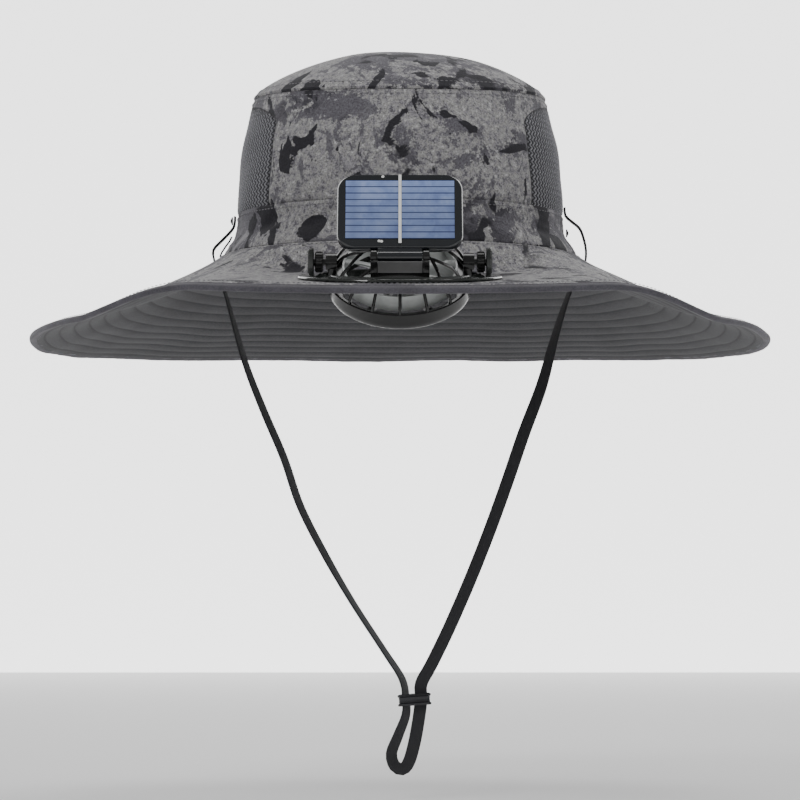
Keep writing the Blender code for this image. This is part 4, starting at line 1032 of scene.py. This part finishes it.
# Blue cell with its dark divisions, in the panel's own frame
def cellFinish(sizes):
    material, tree, shader = newMaterial("cellGlass", (0.17, 0.24, 0.47), 0.22,
                                         **{"Coat Weight": 0.8, "Coat Roughness": 0.05})
    back = panelTurn.inverted()
    point = objectPoint(tree, back.to_translation(), back.to_euler())
    axes = addNode(tree, "ShaderNodeSeparateXYZ", {"Vector": point})
    pitch = sizes["cellHeight"] / sizes["cellStrips"]
    height = maths(tree, "SUBTRACT", axes.outputs["Z"], sizes["toHinge"] + sizes["cellRise"])
    phase = maths(tree, "FRACT", maths(tree, "DIVIDE", height, pitch))
    lines = ramp(tree, phase, [(0.0, 1.0), (0.06, 0.85), (0.12, 0.0), (0.88, 0.0), (0.94, 0.85), (1.0, 1.0)])
    fine = maths(tree, "FRACT", maths(tree, "DIVIDE", height, pitch / 3))
    hair = ramp(tree, fine, [(0.0, 0.30), (0.14, 0.0), (0.86, 0.0), (1.0, 0.30)])
    cloud = noiseFac(tree, point, 90.0, 5.0, 0.6, 0.4)
    blue = ramp(tree, cloud, [(0.30, (0.135, 0.185, 0.40)), (0.5, (0.20, 0.275, 0.52)),
                              (0.7, (0.29, 0.37, 0.60))])
    # Painted light: the cell is painted darker towards its bottom and lighter towards its top
    fade = ramp(tree, maths(tree, "DIVIDE", height, sizes["cellHeight"]),
                [(0.0, 0.88), (0.5, 0.95), (1.0, 1.25)])
    blue = mixColor(tree, 1.0, blue, fade, "MULTIPLY")
    side = maths(tree, "ABSOLUTE", maths(tree, "ADD", axes.outputs["X"], 0.0232))
    blue = mixColor(tree, ramp(tree, side, [(0.0, 0.35), (0.0012, 0.0)]), blue, (0.09, 0.13, 0.30))
    blue = mixColor(tree, hair, blue, (0.10, 0.14, 0.33))
    blue = mixColor(tree, lines, blue, (0.022, 0.035, 0.105))
    colorInto(tree, shader, blue)
    return material


makeStand(panel)
makePanel(panel)
finishes["cellGlass"] = cellFinish(panel)
print("solar panel made")

# Chin tape: one strand from the crown's left side, through the lock and back to its right side
# Rows: X and Z of the tape's middle, degrees that its flat side has turned
tapeRoute = (
    (-0.0919, 0.0230, 0.0), (-0.0923, 0.0180, 0.0), (-0.0944, 0.0146, 0.0), (-0.0990, 0.0098, 0.0),
    (-0.1040, 0.0042, 0.0), (-0.1032, -0.0024, 0.0), (-0.1017, -0.0060, 0.0), (-0.0967, -0.0219, 10.0),
    (-0.0862, -0.0581, 24.0), (-0.0759, -0.0849, 30.0), (-0.0645, -0.1116, 32.0), (-0.0553, -0.1383, 32.0),
    (-0.0417, -0.1651, 30.0), (-0.0261, -0.1918, 24.0), (-0.0086, -0.2186, 24.0), (0.0012, -0.2340, 28.0),
    (0.0032, -0.2453, 32.0), (0.0032, -0.2540, 40.0), (-0.0011, -0.2654, 50.0), (-0.0047, -0.2750, 60.0),
    (-0.0030, -0.2818, 66.0), (0.0014, -0.2838, 72.0), (0.0050, -0.2795, 78.0), (0.0080, -0.2690, 84.0),
    (0.0102, -0.2570, 88.0), (0.0117, -0.2453, 90.0), (0.0118, -0.2365, 90.0), (0.0178, -0.2252, 90.0),
    (0.0275, -0.2052, 90.0), (0.0392, -0.1784, 90.0), (0.0498, -0.1517, 90.0), (0.0595, -0.1250, 86.0),
    (0.0687, -0.0982, 80.0), (0.0787, -0.0715, 60.0), (0.0860, -0.0450, 34.0), (0.0934, -0.0219, 16.0),
    (0.1012, -0.0060, 0.0), (0.1032, -0.0024, 0.0), (0.1036, 0.0042, 0.0), (0.1023, 0.0108, 0.0),
    (0.1000, 0.0165, 0.0), (0.0952, 0.0206, 0.0), (0.0922, 0.0236, 0.0), (0.0917, 0.0280, 0.0),
)
tape = {"width": 0.0070, "thickness": 0.0010, "step": 0.0028}


def smoothRoute(points, longest):
    route, last = [], len(points) - 1
    for index in range(last):
        before, start = points[max(0, index - 1)], points[index]
        end, after = points[index + 1], points[min(last, index + 2)]
        steps = max(1, math.ceil(math.hypot(end[0] - start[0], end[1] - start[1]) / longest))
        for step in range(steps):
            t = step / steps
            route.append([0.5 * (2 * b + (c - a) * t + (2 * a - 5 * b + 4 * c - d) * t * t
                                 + (3 * b - a - 3 * c + d) * t ** 3)
                          for a, b, c, d in zip(before, start, end, after)])
    return route + [list(points[-1])]


def makeTape(sizes):
    route = smoothRoute(tapeRoute, sizes["step"])
    path = [Vector((x, 0.0, z)) for x, z, _ in route]
    halfWidth, halfThick = sizes["width"] / 2, sizes["thickness"] / 2
    section = roundedFrame(halfWidth, halfThick, halfThick * 0.7, 3)
    count, last = len(section), len(path) - 1
    length = sum((b - a).length for a, b in zip(path, path[1:]))

    def place(across, along):
        index = round(along * last)
        tangent = (path[min(last, index + 1)] - path[max(0, index - 1)]).normalized()
        level = tangent.cross(Vector((0, 1, 0))).normalized()
        turn = math.radians(route[index][2])
        wide = Vector((0, 1, 0)) * math.cos(turn) + level * math.sin(turn)
        thick = tangent.cross(wide)
        u, v = section[round(across * count) % count]
        return path[index] + wide * u + thick * v

    mesh = gridSheet(count, last, place)
    uvLayer = mesh.loops.layers.uv.active
    for face in mesh.faces:
        for corner in face.loops:
            corner[uvLayer].uv.y *= length / 0.1
    fillHoles(mesh)
    faceOut(mesh)
    piece = addPiece("chinTape", mesh, "webbing", "hat", ("chin_cord",), 60.0)
    return piece, path, length


# Cord lock: an oval ring with two raised rims
lock = {"centre": Vector((0.0080, 0.0, -0.2453)), "tilt": -4.0, "halfX": 0.0093, "halfY": 0.0047,
        "halfZ": 0.00325, "wall": 0.0012, "corner": 0.0022}


def makeLock(sizes):
    turn = Matrix.Translation(sizes["centre"]) @ Matrix.Rotation(math.radians(sizes["tilt"]), 4, "Y")
    halfZ, wall = sizes["halfZ"], sizes["wall"]
    section = ((-wall, -halfZ), (-0.0003, -halfZ), (0.0, -halfZ + 0.0004), (0.0, -halfZ + 0.0012),
               (-0.0006, -halfZ + 0.0018), (-0.0007, 0.0), (-0.0006, halfZ - 0.0018), (0.0, halfZ - 0.0012),
               (0.0, halfZ - 0.0004), (-0.0003, halfZ), (-wall, halfZ), (-wall, 0.0))
    outline = roundedFrame(sizes["halfX"], sizes["halfY"], sizes["corner"], 8)
    around, count = len(outline), len(section)

    def place(across, along):
        x, y = outline[round(across * around) % around]
        out, z = section[round(along * count) % count]
        return turn @ Vector((x * (1.0 + out / sizes["halfX"]), y * (1.0 + out / sizes["halfY"]), z))

    mesh = gridSheet(around, count, place)
    faceOut(mesh)
    return addPiece("cordLock", mesh, "gunmetal", "hat", ("cord_lock",), 40.0)


def makeSnaps():
    for name, node, side in (("snapLeft", "snap_left", -1), ("snapRight", "snap_right", 1)):
        low, high = (Vector(corner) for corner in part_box(node))
        centre, radius = (low + high) / 2, (high.z - low.z) / 2
        base = centre.x - side * 0.0006
        mesh = bmesh.new()
        turn = Matrix.Translation((base, centre.y, centre.z)) @ Matrix.Rotation(side * math.pi / 2, 4, "Y")
        spun(mesh, [(0.0, 0.0016), (radius * 0.45, 0.0014), (radius * 0.75, 0.0009), (radius * 0.82, 0.0007),
                    (radius, 0.0008), (radius * 1.04, 0.0003), (radius, 0.0), (0.0, 0.0)], 32, turn=turn)
        addPiece(name, mesh, "gunmetal", "hat", (node,), 40.0)


tapePiece, tapePath, tapeLength = makeTape(tape)
lockPiece = makeLock(lock)
makeSnaps()
print("chin tape made, metres:", round(tapeLength, 3))

# CAD pieces that stay get their finish here
keptNodes = {"fan_guard": "fanGloss", "stand_plate": "faceSatin", "solar_cell": "cellGlass",
             "busbar": "busSilver", "keeper_left": "webbing"}


def dressKept(finishOf):
    for name, finish in finishOf.items():
        for materialSlot in frame["nodes"][name].material_slots:
            materialSlot.material = finishes[finish]


dressKept(keptNodes)


# Studio: pale floor, white backdrop and soft lights
studio = {"floor": -0.300, "size": 12.0, "world": 0.30, "backdrop": 2.2, "wallAt": 3.0, "wallWidth": 4.0,
          "wallHeight": 1.5}
# Rows: name, place, diameter and power of each light
lights = (("keyLight", (-0.9, -1.6, 1.3), 0.9, 15.0), ("fillLight", (1.4, -1.2, 0.5), 0.8, 5.0),
          ("topLight", (0.1, 0.3, 1.7), 1.0, 8.0))


def addArea(name, place, size, power):
    data = bpy.data.lights.new(name, "AREA")
    data.shape = "DISK"
    data.size = size
    data.energy = power
    light = linkObject(name, data)
    light.location = place
    light.rotation_euler = (-Vector(place)).to_track_quat("-Z", "Y").to_euler()


def makeStudio(sizes):
    white = (1.0, 1.0, 1.0, 1.0)
    floorMaterial = newMaterial("studioFloor", (0.93, 0.93, 0.93), 0.9)[0]
    mesh = bmesh.new()
    bmesh.ops.create_grid(mesh, x_segments=1, y_segments=1, size=sizes["size"])
    bmesh.ops.translate(mesh, verts=mesh.verts, vec=(0, 0, sizes["floor"]))
    floor = linkObject("studioFloor", meshData("studioFloor", mesh, floorMaterial))
    wallMaterial = newMaterial("studioWall", (0.95, 0.95, 0.95), 0.9,
                               **{"Emission Color": white, "Emission Strength": sizes["backdrop"]})[0]
    mesh = bmesh.new()
    bmesh.ops.create_grid(mesh, x_segments=1, y_segments=1, size=1.0)
    for vert in mesh.verts:
        vert.co = (vert.co.x * sizes["wallWidth"], sizes["wallAt"],
                   sizes["floor"] + sizes["wallHeight"] * (1.0 + vert.co.y))
    wall = linkObject("studioWall", meshData("studioWall", mesh, wallMaterial))
    world = bpy.data.worlds.new("studio")
    world.use_nodes = True
    background = world.node_tree.nodes["Background"].inputs
    background["Color"].default_value = white
    background["Strength"].default_value = sizes["world"]
    bpy.context.scene.world = world
    for light in lights:
        addArea(*light)


makeStudio(studio)
print("studio ready")
